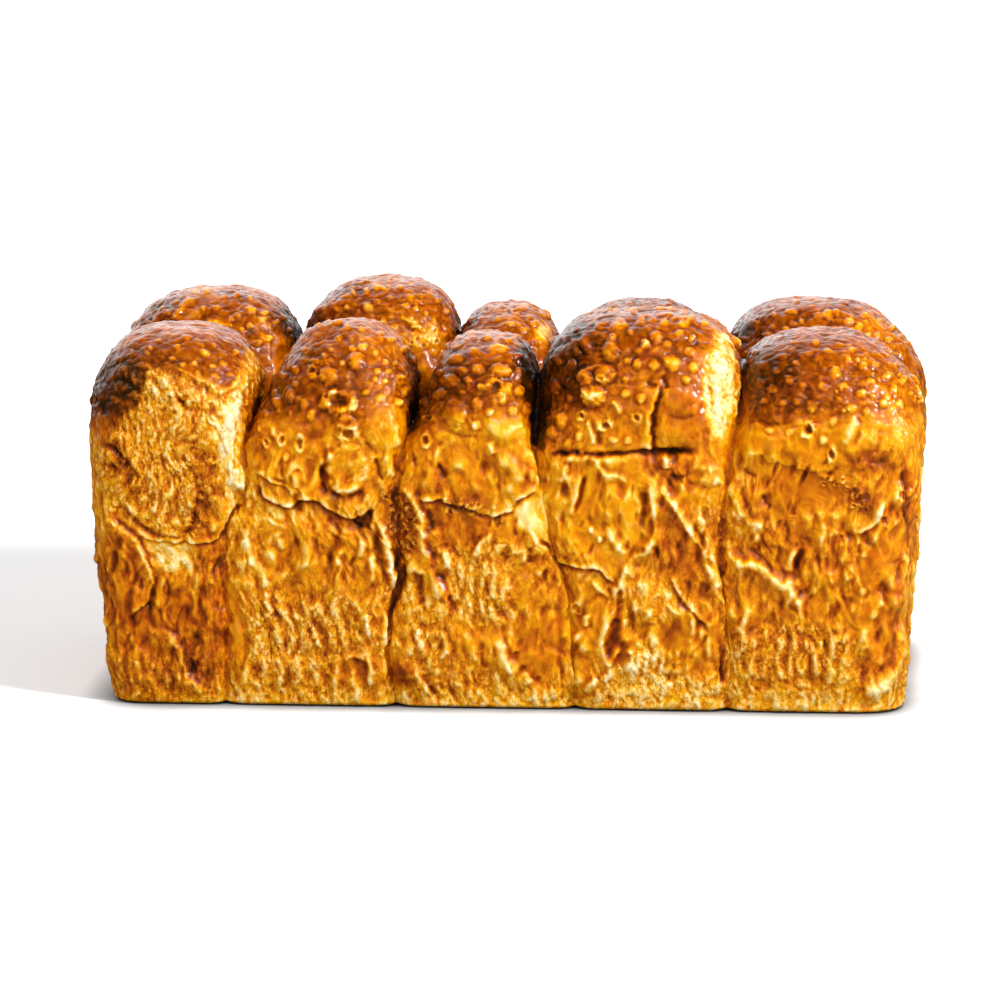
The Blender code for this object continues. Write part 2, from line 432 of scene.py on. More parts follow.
def flap(points, rise=1.3, reach=26.0, gap=2.4, deep=1.1, pale=0.10, dark=0.38, row=-1,
         wobble=1.3, ends=(0.12, 0.12), lip=0.35):
    """Dough that ends in an edge over what lies on its other side; dark paints the shadow under the edge."""
    ids, d, s, k = along(points, max(reach * 2.2, gap * 5), row, wobble, ends)
    over = smooth(s / 1.6 + 0.5)
    gap, deep = gap * 0.8, deep * 0.6
    H[ids] += 0.95 * k * (over * (rise * np.exp(-(np.clip(s, 0, None) / reach) ** 1.4)
                                 + lip * (0.72 + 0.3 * RAG[ids]) * np.exp(-((s - 2.6) / 2.4) ** 2))
                         - deep * (0.6 * np.exp(-((s + gap * 0.8) / gap) ** 2) + 0.4 * np.exp(-((s + gap) / (gap * 3)) ** 2)))
    TONE[ids] += k * (0.3 * pale * (1 + 0.5 * RAG[ids]) * np.exp(-((s - 2.2) / 2.6) ** 2)
                      - 0.26 * dark * np.exp(-((s + gap * 0.7) / (gap * 0.9)) ** 2))


def oval(x, y, rx, ry, turn, reach, row, wobble=0.6):
    r = max(rx, ry) * reach
    ids = within(x - r, x + r, y - r, y + r, row)
    q = UV[ids] + WOB[ids] * wobble - (x, y)
    c, s = math.cos(math.radians(turn)), math.sin(math.radians(turn))
    a, b = (q[:, 0] * c - q[:, 1] * s) / rx, (q[:, 0] * s + q[:, 1] * c) / ry
    return ids, np.hypot(a, b), a, b, EDGE_ON[ids]


def blister(x, y, rx, ry=None, turn=0, high=None, pale=0.26, row=-1, ring=0.05):
    """A bubble under the skin; turn is counterclockwise in the picture. Its ring darkens its foot a little: painted
    shade.
    """
    ry = ry or rx
    high = 0.17 * min(rx, ry) + 0.1 if high is None else high
    ids, r, a, b, k = oval(x, y, rx, ry, turn, 1.9, row, 1.0)
    r = r * (1.0 + 0.14 * RAG[ids])
    H[ids] += k * high * np.clip(1.08 - r ** 2, 0, 1) ** 0.85
    TONE[ids] += k * (0.60 * pale * np.exp(-(r / 0.95) ** 3) - ring * np.exp(-((r - 1.15) / 0.2) ** 2))


def torn(x, y, rx, ry=None, turn=0, high=None, deep=None, pale=0.25, dark=0.55, row=-1, mouth=0.62):
    """A burst bubble: a ragged raised rim round a hollow, which dark darkens: painted shade in the hollow."""
    ry = ry or rx
    high = 0.14 * min(rx, ry) + 0.25 if high is None else high
    deep = 0.2 * min(rx, ry) if deep is None else deep
    ids, r, a, b, k = oval(x, y, rx, ry, turn, 2.0, row, 1.7)
    r = r * (1.0 + 0.22 * RAG[ids])
    lopsided = 0.65 + 0.35 * np.sin(np.arctan2(b, a) * 2 + x)
    inside = smooth((mouth + 0.12 - r) / 0.3)
    H[ids] += k * (0.8 * high * lopsided * np.exp(-((r - mouth - 0.24) / 0.28) ** 2) - 0.42 * deep * inside)
    TONE[ids] += k * 0.75 * pale * lopsided * np.exp(-((r - mouth - 0.22) / 0.2) ** 2) * (1 - inside)
    TONE[ids] = mix(TONE[ids], np.maximum(TONE[ids] - 0.4 * dark, 0.34), k * inside)


def lump(x, y, rx, ry, turn=0, high=0.6, pale=0.0, row=-1, power=2.0):
    ids, r, a, b, k = oval(x, y, rx, ry, turn, 2.4, row)
    H[ids] += high * k * np.exp(-r ** power)
    TONE[ids] += pale * k * np.exp(-r ** power)


def area(x, y, rx, ry, turn=0, tone=None, lace=None, gloss=None, plum=None, moss=None, calm=None, row=-1,
         hard=3.0, much=1.0, wobble=2.2):
    """A stretch of crust with its own colour or skin; some stretches carry painted shade and light as well."""
    ids, r, a, b, k = oval(x, y, rx, ry, turn, 1.7, row, wobble)
    m = much * np.exp(-r ** hard * 0.9)
    for values, value in ((TONE, tone), (LACE, lace), (GLOSS, gloss), (PLUM, plum), (MOSS, moss), (CALM, calm)):
        if value is not None:
            values[ids] = mix(values[ids], value, m)


def patch(points, soft=3.0, tone=None, lace=None, gloss=None, plum=None, moss=None, calm=None, row=-1,
          much=1.0, wobble=1.6, high=0.0):
    """The same for a stretch with a drawn outline."""
    line = np.array(list(points) + [points[0]], float)
    ids = within(line[:, 0].min() - soft * 2, line[:, 0].max() + soft * 2,
                 line[:, 1].min() - soft * 2, line[:, 1].max() + soft * 2, row)
    q = UV[ids] + WOB[ids] * wobble
    inside = np.zeros(len(ids), bool)
    best = np.full(len(ids), 1e9)
    for (ax, ay), (bx, by) in zip(line[:-1], line[1:]):
        cross = (ay > q[:, 1]) != (by > q[:, 1])
        inside ^= cross & (q[:, 0] < (bx - ax) * (q[:, 1] - ay) / (by - ay + 1e-12) + ax)
        ux, uy = bx - ax, by - ay
        t = np.clip(((q[:, 0] - ax) * ux + (q[:, 1] - ay) * uy) / (ux * ux + uy * uy + 1e-9), 0, 1)
        best = np.minimum(best, np.hypot(q[:, 0] - ax - t * ux, q[:, 1] - ay - t * uy))
    m = much * smooth(0.5 + np.where(inside, best, -best) / (2 * soft))
    H[ids] += high * m
    for values, value in ((TONE, tone), (LACE, lace), (GLOSS, gloss), (PLUM, plum), (MOSS, moss), (CALM, calm)):
        if value is not None:
            values[ids] = mix(values[ids], value, m)


def streaked(across, up, seed, bend=0.6):
    """Points for a noise that runs up the sides."""
    q = P / np.array([across, across, up])
    return q + bend * np.stack([MID, MID[::1] * 0.5, BROAD], 1) + seed * 3.7


# =============================================================================
# Where the crust is dark and pale, smooth and torn, and where shade and light are painted into its tone
# =============================================================================
BORDER = ((60, 430), (95, 425), (120, 415), (145, 392), (165, 372), (205, 384), (240, 398), (262, 415),
          (300, 425), (350, 428), (398, 408), (415, 432), (440, 428), (480, 408), (530, 395), (546, 424),
          (590, 408), (640, 392), (670, 376), (700, 352), (744, 346), (750, 425), (800, 430), (860, 424), (940, 400))
bx, by = zip(*BORDER)
above = np.interp(UV[:, 0], bx, by) - UV[:, 1]               # px over the border, seen rows
dome_front = smooth(0.5 + (above + 7 * BROAD + 5 * WOB[:, 0]) / 22.0)
dome_other = smooth(0.5 + (P[:, 2] - 103.0 + 14 * BROAD + 7 * MID + 4 * WOB[:, 0]) / 26.0)
hidden = 1.0 - ramp(-0.05, 0.2, SEEN) * (ROW < 0)
DOMED = mix(dome_front, dome_other, hidden)
SKIN = ramp(97.0, 106.0, P[:, 2] + 2 * BROAD)                # over the tin's rim
WALL = ramp(101.0, 92.0, P[:, 2] + 3 * BROAD + 2 * WOB[:, 0])  # pressed by the tin

TONE[:] = mix(0.635 + 0.05 * BROAD, 0.40 + 0.07 * BROAD, DOMED)
PLUM[:] = 0.5 * DOMED * smooth(0.3 + 1.2 * MID)
LACE[:] = np.clip(0.28 + 0.45 * BROAD, 0, 1) * (1 - DOMED)
LACE[:] = np.maximum(LACE, 0.75 * ramp(26, 12, P[:, 2] + 5 * MID))
GLOSS[:] = mix(0.35, 0.95, SKIN)
TONE[:] += 0.10 * ramp(10, 2, P[:, 2] + 2 * WOB[:, 0])       # pale foot

# ball 1
area(170, 352, 92, 26, tone=0.40, lace=0.0)
area(128, 388, 42, 32, tone=0.12, lace=0.9, moss=0.8, hard=2.4, wobble=5)
area(104, 372, 16, 34, tone=0.16, moss=0.8)
patch(((150, 366), (175, 370), (204, 382), (232, 396), (238, 420), (228, 470), (216, 515), (196, 538), (160, 539),
       (132, 526), (112, 508), (98, 488), (96, 446), (118, 425), (140, 400)), 5, tone=0.64, lace=1.0, gloss=0.4)
patch(((96, 428), (112, 424), (122, 440), (140, 470), (146, 492), (134, 500), (118, 480), (104, 456)), 5, tone=0.42, much=0.8)
patch(((190, 440), (214, 455), (212, 500), (200, 532), (186, 534), (192, 500)), 5, tone=0.45, much=0.8)
patch(((238, 372), (250, 350), (262, 362), (266, 380), (256, 398), (249, 412), (243, 432), (240, 450), (247, 480),
       (240, 498), (228, 512), (222, 470), (214, 440), (212, 418), (228, 398)), 5, tone=0.84, lace=0.85, gloss=0.2, wobble=3)
patch(((145, 539), (175, 544), (204, 542), (200, 556), (192, 572), (178, 576), (160, 568), (150, 552)), 3,
      tone=0.84, lace=0.5)
patch(((190, 544), (205, 540), (205, 556), (196, 570), (190, 560)), 3, tone=0.58, moss=0.5, much=0.8)
# Ball 1's lower side is darker than ball 5's: partly the crust's own colour, partly painted shade, as this end lies
# farther from the lamp.
area(160, 640, 62, 66, tone=0.47, hard=6, much=0.85)
area(120, 570, 24, 46, tone=0.47, hard=5, much=0.8)
area(210, 610, 16, 90, tone=0.43, hard=6, much=0.8)
area(185, 613, 9, 12, tone=0.34)
area(222, 636, 6, 10, tone=0.36)
area(195, 665, 5, 5, tone=0.34)
area(150, 690, 60, 12, tone=0.55, much=0.7)
# ball 2
# The dome is darker on its left, turned from the lamp, and paler on its right: partly the crust's own browning, partly
# painted shade on the left and painted light on the right.
area(300, 352, 52, 34, 20, tone=0.33, gloss=1.0, much=0.8)
area(285, 392, 30, 30, tone=0.30, much=0.8)
area(385, 345, 36, 20, -20, tone=0.50)
area(390, 400, 22, 34, tone=0.52)
area(388, 438, 18, 30, tone=0.66, gloss=1.0)
area(300, 460, 50, 30, tone=0.60, lace=0.1, gloss=0.7)
area(255, 425, 10, 40, 15, tone=0.48)
area(312, 432, 12, 8, tone=0.42, plum=0.3)
area(320, 555, 70, 45, tone=0.58, lace=0.25, hard=6)
area(255, 560, 32, 60, tone=0.66, lace=0.45, hard=5)
area(310, 640, 75, 55, tone=0.62, lace=1.0, hard=6)
area(352, 668, 18, 14, tone=0.50, lace=0.35, plum=0.2, hard=2, wobble=5)
area(238, 640, 7, 40, 8, tone=0.58, lace=0.1)
area(290, 515, 34, 10, tone=0.74, much=0.7)
# the scar between balls 2 and 3
patch(((382, 490), (400, 486), (414, 500), (420, 530), (414, 556), (405, 570), (396, 560), (388, 535)), 5,
      tone=0.42, lace=0.9, plum=0.5, wobble=3)
patch(((396, 546), (408, 556), (408, 575), (400, 600), (392, 625), (388, 620), (394, 590), (392, 565)), 3, tone=0.44, plum=0.2)
# ball 3
# The dome is darker on its left, turned from the lamp, and paler on its right: partly the crust's own browning, partly
# painted shade on the left and painted light on the right.
area(450, 372, 36, 34, 15, tone=0.25, gloss=1.0, much=0.85)
area(420, 408, 12, 34, 12, tone=0.22, much=0.8)
area(500, 350, 40, 12, tone=0.42)
area(510, 400, 24, 34, tone=0.46)
area(505, 432, 26, 18, tone=0.68, gloss=0.9)
area(480, 470, 50, 36, tone=0.61, lace=0.12, hard=5)
area(421, 462, 16, 26, tone=0.58, lace=0.1)
# a darker wedge below the dome: painted shade
patch(((438, 462), (452, 466), (448, 480), (436, 492), (426, 492)), 4, tone=0.42, much=0.7)
area(460, 505, 24, 9, tone=0.40, lace=0.9, plum=0.4)
patch(((424, 512), (438, 508), (486, 520), (490, 532), (470, 548), (446, 550), (436, 548), (428, 530)), 5, tone=0.50, lace=0.2)
patch(((512, 508), (533, 496), (543, 500), (546, 520), (551, 544), (540, 540), (524, 530), (514, 520)), 3,
      tone=0.84, lace=0.1, gloss=0.7)
patch(((446, 553), (459, 549), (470, 553), (478, 546), (490, 535), (503, 536), (512, 548), (513, 580), (512, 622),
       (482, 622), (461, 619), (453, 604), (449, 578)), 9, tone=0.66, lace=0.8, high=0.1, wobble=4)
patch(((427, 540), (438, 560), (446, 590), (456, 612), (450, 618), (440, 595), (430, 575), (424, 560)), 3, tone=0.42, much=0.8)
area(540, 590, 22, 50, -18, tone=0.58, lace=0.45)
area(540, 645, 26, 34, tone=0.54, lace=0.08, hard=5)
area(404, 674, 14, 12, tone=0.33, lace=0.1, plum=0.8)
area(430, 640, 24, 36, tone=0.62, lace=0.9)
# ball 4
# The dark left of the dome, turned from the lamp: partly the crust's own browning, partly painted shade.
area(565, 368, 28, 42, 20, tone=0.12, gloss=1.0, much=0.9)
area(610, 320, 60, 14, 8, tone=0.33, much=0.8)
area(560, 430, 20, 24, tone=0.46)
area(635, 400, 40, 30, tone=0.49, gloss=0.9)
area(594, 388, 15, 15, tone=0.54, lace=0.4, hard=2.4)
area(632, 438, 38, 15, tone=0.57, lace=0.0)
area(690, 400, 26, 50, tone=0.46, lace=0.1, gloss=0.8, hard=5)
patch(((714, 332), (726, 334), (736, 350), (738, 384), (736, 405), (731, 422), (724, 440), (714, 436), (708, 416),
       (702, 396), (706, 370), (714, 350)), 6, tone=0.91, lace=0.85, gloss=0.3, wobble=4)
area(610, 505, 66, 52, tone=0.66, lace=0.06, hard=8, gloss=0.6)
area(590, 490, 22, 30, tone=0.58, much=0.6)
patch(((658, 494), (680, 520), (700, 560), (712, 600), (700, 606), (680, 590), (660, 572), (652, 548), (657, 520)), 4,
      tone=0.50, lace=0.35)
# a darker hollow under the crack: painted shade
patch(((668, 458), (696, 456), (694, 470), (684, 484), (668, 486), (660, 475)), 5, tone=0.46, much=0.8, wobble=3)
patch(((700, 462), (726, 458), (728, 492), (718, 500), (704, 484)), 5, tone=0.68, lace=0.5)
area(712, 530, 10, 40, -8, tone=0.58, lace=0.8)
area(650, 610, 30, 48, tone=0.66, lace=0.5, hard=5)
patch(((604, 636), (614, 612), (618, 600), (624, 640), (634, 640), (632, 660), (610, 664), (603, 655)), 4, tone=0.40, lace=0.05)
area(585, 620, 22, 60, tone=0.62, lace=0.1, hard=5)
area(668, 634, 10, 9, tone=0.40, lace=0)
area(700, 640, 24, 34, tone=0.58, lace=0.1, hard=5)
area(722, 665, 5, 24, -4, tone=0.36)
patch(((632, 645), (662, 648), (672, 690), (640, 706), (600, 706), (606, 676), (626, 660)), 5, tone=0.74, lace=1.0)
area(700, 696, 30, 14, tone=0.74, lace=1.0)
# ball 5
# The dome is darker on its left, turned from the lamp, and paler on its right: partly the crust's own browning, partly
# painted shade on the left and painted light on the right.
area(790, 378, 46, 42, 10, tone=0.28, gloss=1.0, hard=2.2)
area(765, 372, 24, 24, 20, tone=0.16, much=0.8, gloss=1.0)
area(780, 408, 36, 18, tone=0.33, lace=0, hard=2)
area(860, 374, 46, 28, -12, tone=0.45)
area(895, 402, 26, 36, tone=0.54)
area(772, 444, 38, 22, tone=0.58, lace=0, hard=3, gloss=1.0)
area(826, 440, 40, 24, tone=0.60, lace=0, hard=2.4, gloss=1.0)
# two pale stretches on the dome's right stand in for its shine: partly paler crust, partly painted highlight
area(852, 432, 14, 18, -20, tone=0.70, hard=2, gloss=1.0)
area(890, 448, 26, 32, tone=0.64, gloss=1.0)
area(870, 462, 26, 14, tone=0.40, plum=0.2)
area(802, 488, 44, 24, tone=0.50, lace=0.06, hard=4, gloss=0.6)
area(862, 500, 16, 12, -30, tone=0.34, lace=0.9, plum=0.6)
area(757, 510, 13, 11, tone=0.42, plum=0.3)
area(800, 580, 80, 70, tone=0.57, lace=0.25, hard=8)
area(790, 656, 76, 34, tone=0.61, lace=0.9, hard=6)
area(880, 600, 18, 84, tone=0.58, lace=0.1, hard=5)
area(906, 505, 6, 44, tone=0.38, much=0.8)
area(842, 560, 8, 22, 10, tone=0.44, much=0.7)
area(868, 552, 7, 20, 14, tone=0.44, much=0.7)
area(800, 552, 7, 20, 20, tone=0.44, much=0.7)
area(810, 703, 90, 7, tone=0.76, lace=0.6)
area(884, 690, 15, 11, tone=0.76, lace=0.3)
patch(((893, 560), (900, 555), (898, 620), (892, 665), (885, 668), (890, 620)), 2.5, tone=0.40, much=0.9)
patch(((872, 655), (862, 690), (858, 694), (862, 668), (868, 650)), 2.5, tone=0.42, much=0.9)
# the domes of the back row
# The back row's domes, like the front's, are darker on their left and paler on their right: partly the crust's own
# browning, partly painted shade and light.
area(165, 316, 36, 22, 25, tone=0.28, row=1)
area(200, 292, 14, 7, tone=0.50, row=1)
area(190, 312, 14, 8, 30, tone=0.55, row=1)
area(262, 330, 40, 22, -15, tone=0.42, row=1)
area(216, 326, 12, 6, tone=0.70, row=1)
area(274, 338, 16, 9, tone=0.52, row=1)
area(340, 305, 36, 24, 30, tone=0.30, row=1)
area(400, 305, 40, 22, tone=0.42, row=1)
area(424, 338, 26, 18, -25, tone=0.62, lace=0.3, row=1)
area(432, 334, 6, 10, tone=0.76, row=1)
area(485, 318, 26, 12, tone=0.36, row=1)
area(520, 322, 26, 16, tone=0.45, row=1)
area(542, 333, 8, 9, tone=0.85, row=1)
area(650, 303, 62, 9, tone=0.30, plum=0.6, row=1)
area(760, 322, 34, 20, 20, tone=0.28, row=1)
area(830, 312, 40, 14, tone=0.34, row=1)
area(870, 330, 30, 16, -15, tone=0.55, row=1)
area(912, 345, 14, 22, tone=0.5, row=1)

# where the skin is smooth
for x, y, rx, ry, calm in ((610, 505, 62, 46, .75), (640, 430, 60, 24, .8), (690, 400, 26, 50, .6), (480, 470, 50, 34, .7),
                           (300, 462, 50, 30, .6), (390, 425, 24, 40, .6), (772, 446, 40, 20, .9), (800, 486, 50, 24, .6),
                           (540, 645, 26, 34, .8), (404, 674, 14, 12, .9), (530, 518, 18, 22, .9), (352, 668, 20, 15, .9),
                           (585, 622, 22, 58, .6), (700, 640, 22, 34, .5), (176, 556, 30, 16, .7), (880, 600, 16, 80, .5),
                           (850, 370, 60, 30, .3), (776, 376, 38, 34, .8), (830, 442, 80, 24, .9), (190, 340, 60, 14, .6), (880, 396, 30, 30, .4),
                           (440, 366, 26, 24, .3), (240, 640, 8, 36, .8), (680, 545, 24, 44, .45), (505, 432, 26, 16, .7)):
    area(x, y, rx, ry, calm=calm, hard=2.4, wobble=4)
# Painted shade and shadow: dark flanks in the gaps beside the next ball, which shades them, and the domes' left flanks,
# front and back row, turned from the lamp.
area(528, 358, 16, 14, -20, tone=0.10, gloss=1.0)
area(545, 392, 10, 40, 5, tone=0.14, gloss=1.0)
area(290, 322, 14, 22, 10, tone=0.12, row=1, gloss=1.0)
area(312, 318, 12, 20, 20, tone=0.14, row=1, gloss=1.0)
area(742, 332, 14, 14, 20, tone=0.14, row=1, gloss=1.0)
area(470, 316, 10, 12, 20, tone=0.18, row=1, gloss=1.0)
area(572, 334, 26, 18, -30, tone=0.17, gloss=1.0)
patch(((516, 354), (530, 342), (547, 350), (546, 380), (547, 430), (544, 454), (534, 444), (528, 414), (522, 384)), 3,
      tone=0.05, gloss=0.6, wobble=2)
patch(((404, 350), (418, 346), (424, 372), (420, 398), (412, 420), (408, 400), (412, 376)), 3, tone=0.14, gloss=0.6, wobble=2)

# =============================================================================
# What the picture shows, one by one.  Places are in picture pixels.
# =============================================================================
def blisters(rows, row=-1, ring=0.05):
    for x, y, rx, ry, turn, pale in rows:
        blister(x, y, rx, ry, turn, pale=pale, row=row, ring=ring)


# ---- ball 1, dome --------------------------------------------------------------
blisters([(151, 349, 3, 3, 0, .30), (132, 351, 2.5, 2.5, 0, .25), (148, 354, 3, 2.5, 0, .2), (172, 359, 4, 2.8, 0, .28),
          (205, 354, 6, 4, -20, .34), (224, 364, 5.5, 3.2, -20, .34), (212, 366, 4, 3, 0, .26), (195, 364, 3.5, 3, 0, .24),
          (183, 365, 3.8, 3, 0, .22), (177, 347, 4, 2.6, 10, .22), (214, 346, 3, 2.4, 0, .16), (158, 340, 4, 2.6, 15, .12),
          (188, 338, 5, 3, 0, .1), (236, 352, 4, 3, 0, .2), (120, 360, 5, 3.5, 30, .1), (198, 374, 4, 3, 0, .15),
          (216, 378, 6, 4, -25, .2), (229, 375, 4, 3, 0, .2)])
for x, y, rx, ry, t in ((112, 378, 7, 4, 50), (124, 370, 6, 4, 20), (136, 378, 7, 4, 70), (121, 388, 6, 5, 0), (134, 396, 8, 4, 25),
                        (148, 386, 7, 4, 80), (115, 400, 7, 4, -20), (150, 374, 5, 3, 10), (142, 366, 6, 3, 0), (127, 404, 6, 3, 10)):
    lump(x, y, rx, ry, t, high=0.7, pale=0.14, power=3)
groove([(108, 384), (118, 379), (128, 383), (137, 389), (146, 380)], 1.6, 0.7, 0.12)
groove([(112, 394), (122, 396), (130, 389), (140, 386)], 1.6, 0.7, 0.12)
groove([(104, 370), (113, 366), (126, 361), (140, 358)], 1.8, 0.5, 0.10)
groove([(99, 400), (102, 410), (106, 418)], 2.4, 0.8, 0.25)
fold([(157, 367), (172, 368), (185, 373), (201, 381), (211, 388), (217, 393), (225, 390), (233, 385), (238, 373), (241, 366)],
     up=7, down=2.6, high=0.9, pale=0.16, dark=0.20)
groove([(172, 393), (181, 402), (189, 410), (201, 410), (211, 412), (221, 418), (229, 423)], 2.6, 0.9, 0.26)
groove([(173, 391), (178, 399), (188, 404)], 2.4, 0.8, 0.22)
groove([(170, 411), (178, 412)], 2.2, 0.6, 0.2)
ridge([(161, 372), (166, 384), (174, 396), (180, 408)], 2.4, 0.6, 0.14)
ridge([(190, 392), (200, 399), (212, 402), (224, 408)], 3.0, 0.6, 0.12)
ridge([(104, 429), (118, 440), (130, 452), (142, 470)], 6.5, 0.8, 0.02)
groove([(97, 443), (112, 447), (125, 462), (137, 475), (145, 490)], 2.4, 0.9, 0.26)
lump(107, 455, 11, 7, -30, 0.9, 0.06, power=4)
groove([(97, 462), (106, 466), (116, 468), (124, 476)], 2.0, 0.7, 0.22)
lump(244, 482, 7, 14, 10, 0.9, 0.06, power=3)
for k in range(5):
    ridge([(232 + k * 5.5, 378 - k * 5), (228 + k * 4, 402 - k * 4), (224 + k * 2.5, 430 - k * 2), (219 + k * 3, 462)],
          1.9, 0.45, 0.08, wobble=1.3)
# ---- ball 1, side --------------------------------------------------------------
flap([(248, 497), (240, 505), (228, 516), (220, 535), (212, 541), (200, 543), (160, 541), (145, 538), (134, 530)][::-1],
     rise=1.0, reach=22, gap=2.6, deep=0.55, dark=0.16, pale=0.12, wobble=2.2)
groove([(115, 497), (122, 508), (135, 520), (150, 532), (165, 537), (180, 536), (190, 528), (195, 515), (197, 500), (200, 488)],
       3.2, 0.9, 0.28)
flap([(125, 622), (134, 613), (141, 608), (149, 599), (151, 593), (154, 584), (153, 574), (148, 564), (145, 556), (142, 547),
      (137, 539), (131, 533), (123, 527), (114, 520), (105, 514)], rise=1.3, reach=24, gap=2.6, deep=0.7, dark=0.2, pale=0.14, wobble=2.0)
area(134, 617, 6, 4, tone=0.35)
groove([(149, 599), (150, 612), (153, 625), (154, 632)], 4.5, 0.8, 0.14)
fold([(204, 697), (199, 689), (192, 681), (186, 672), (183, 663), (181, 652), (174, 641), (168, 634), (162, 631), (154, 632)],
     up=9, down=2.8, high=1.1, pale=0.15, dark=0.26)
ridge([(160, 571), (164, 579), (163, 586), (159, 597), (156, 606), (156, 618), (158, 629)], 3, 0.7, 0.12)
groove([(159, 570), (167, 581), (168, 596), (162, 612)], 2.0, 0.6, 0.18)
ridge([(192, 571), (182, 581), (174, 592)], 2.4, 0.6, 0.12)
ridge([(195, 571), (198, 581), (197, 589), (200, 604)], 2.4, 0.6, 0.12)
for x, y, r in ((185, 612, 6), (221, 636, 5), (195, 666, 3.5), (172, 650, 3)):
    lump(x, y, r * 1.5, r * 2, 0, -0.7, -0.06)
for k in range(5):
    ridge([(201 + k * 5, 560 + 5 * (k % 2)), (203 + k * 4.6, 600), (204 + k * 4.5, 640), (205 + k * 4.4, 676 - 6 * (k % 3))],
          1.7, 0.45, 0.07, wobble=1.6)
for k in range(6):
    ridge([(104 + k * 8, 640 + 7 * (k % 2)), (107 + k * 8, 664), (112 + k * 8, 688)], 2.2, 0.5, 0.08, wobble=1.6)
ridge([(100, 560), (112, 572), (120, 590), (118, 606)], 4, 0.7, 0.06)
ridge([(96, 600), (106, 618), (118, 632), (122, 650)], 4, 0.7, 0.06)
groove([(128, 548), (134, 566), (134, 584), (124, 600)], 3, 0.6, 0.16)

# ---- ball 2, dome --------------------------------------------------------------
blisters([(356, 362, 9, 9.5, 0, .16), (329, 377, 9.5, 9, 0, .12), (295, 384, 5, 4, 0, .16), (315, 362, 5, 4, 0, .16),
          (296, 370, 4, 4, 0, .14), (291, 395, 5, 7, -10, .10), (277, 403, 5, 6.5, 20, .18), (274, 393, 3.5, 5, 0, .14),
          (278, 411, 2.5, 2.5, 0, .14), (265, 413, 3.5, 5, 10, .16), (260, 429, 2.5, 4, 0, .14), (290, 413, 2, 4, 0, .14),
          (304, 404, 4, 6, -20, .2), (311, 415, 4.5, 7, -10, .2), (362, 347, 6, 5, 0, .24), (352, 349, 4, 4, 0, .24),
          (376, 353, 3.5, 3, 0, .24), (385, 362, 4.5, 4.5, 0, .24), (396, 363, 3.5, 3, 0, .22), (377, 371, 4, 4, 0, .22),
          (388, 372, 3.5, 3.5, 0, .2), (401, 377, 5, 3, -20, .2), (342, 364, 3.5, 3.5, 0, .2), (332, 361, 3, 3, 0, .2),
          (332, 352, 3.5, 2.4, 0, .2), (325, 357, 2.8, 2.8, 0, .16), (375, 380, 3.5, 3.5, 0, .2), (385, 381, 3.2, 3.2, 0, .2),
          (318, 345, 5, 3, 20, .12), (338, 339, 5, 3, 10, .18), (304, 350, 5, 3, 30, .1), (366, 392, 5, 4, 0, .14),
          (405, 392, 4, 6, -10, .18), (398, 402, 5, 5, 0, .2), (380, 398, 6, 5, 0, .16), (268, 384, 4, 5, 20, .12),
          (284, 376, 4, 4, 0, .12), (286, 457, 4, 5, 0, .1), (297, 478, 6, 9, 0, .08), (273, 432, 3, 5, 0, .12)])
torn(313, 372, 6, 8.5, 0, mouth=0.35, dark=0.2, pale=0.22)
torn(339, 402, 17, 13, -10, high=1.3, deep=0.8, pale=0.26, dark=0.06, mouth=0.45)
torn(341, 399, 8, 7, 0, high=0.1, deep=0.35, dark=0.04, pale=0.1, mouth=0.8)
blister(324, 404, 6, 7, 0, 1.1, 0.24)
blister(353, 404, 5, 8, -15, 1.0, 0.26)
blister(345, 418, 7, 5, 10, 0.9, 0.2)
blister(333, 392, 6, 4, 30, 0.9, 0.2)
torn(348, 434, 10, 7, 10, high=0.9, deep=0.7, dark=0.16, pale=0.24)
fold([(334, 424), (346, 428), (360, 427)], 5, 2, 0.8, 0.16, 0.2)
# The rim is paler along its raised upper right and darker in the groove round its lower left: painted light and shade
# that follow the relief.
ids, r, a, b, k = oval(347, 469, 20, 24, 0, 1.6, -1, 2.6)
H[ids] += k * (0.45 * np.exp(-((r - 0.95) / 0.16) ** 2) * smooth(a - b + 0.2) + 1.5 * smooth((1.15 - r) / 0.45)
               - 0.6 * np.exp(-((r - 1.2) / 0.14) ** 2) * smooth(0.5 - a + b))
TONE[ids] += k * (0.05 * np.exp(-((r - 0.95) / 0.16) ** 2) * smooth(a - b + 0.2) + 0.04 * smooth(0.8 - r)
                  - 0.14 * np.exp(-((r - 1.17) / 0.14) ** 2) * smooth(0.5 - a + b))
groove([(320, 464), (322, 478), (324, 488), (329, 498)], 3.0, 1.2, 0.42)
ridge([(319, 466), (328, 458), (331, 450)], 2.2, 0.8, 0.2)
ridge([(331, 484), (340, 490), (352, 489), (361, 482)], 2.2, 0.7, 0.2)
torn(300, 443.5, 7, 10, 0, high=1.1, deep=1.0, dark=0.24, pale=0.2, mouth=0.4)
torn(282, 438.5, 5.5, 9, 0, high=0.9, deep=0.9, dark=0.24, pale=0.2, mouth=0.4)
torn(267, 442, 4, 6, 0, high=0.7, deep=0.8, dark=0.2, pale=0.18, mouth=0.4)
fold([(289, 484), (291, 472), (297, 466), (303, 472), (305, 486)], 6, 2, 0.8, 0.12, 0.2)
for k in range(6):
    ridge([(280 + k * 9, 352 - k * 4.4), (292 + k * 9, 341 - k * 3.2), (306 + k * 8, 333 - k * 2.2)], 2.0, 0.5, 0.10, wobble=1.5)
for x, y, rx, ry in ((328, 325, 5, 3), (338, 324, 6, 3), (347, 327, 4, 3), (320, 329, 4, 3), (362, 328, 5, 2.5), (380, 333, 5, 3),
                     (392, 340, 5, 3), (405, 349, 5, 4), (414, 360, 4, 5)):
    blister(x, y, rx, ry, 0, pale=0.2)
lump(388, 432, 20, 26, 20, 1.4, 0.0, power=3)
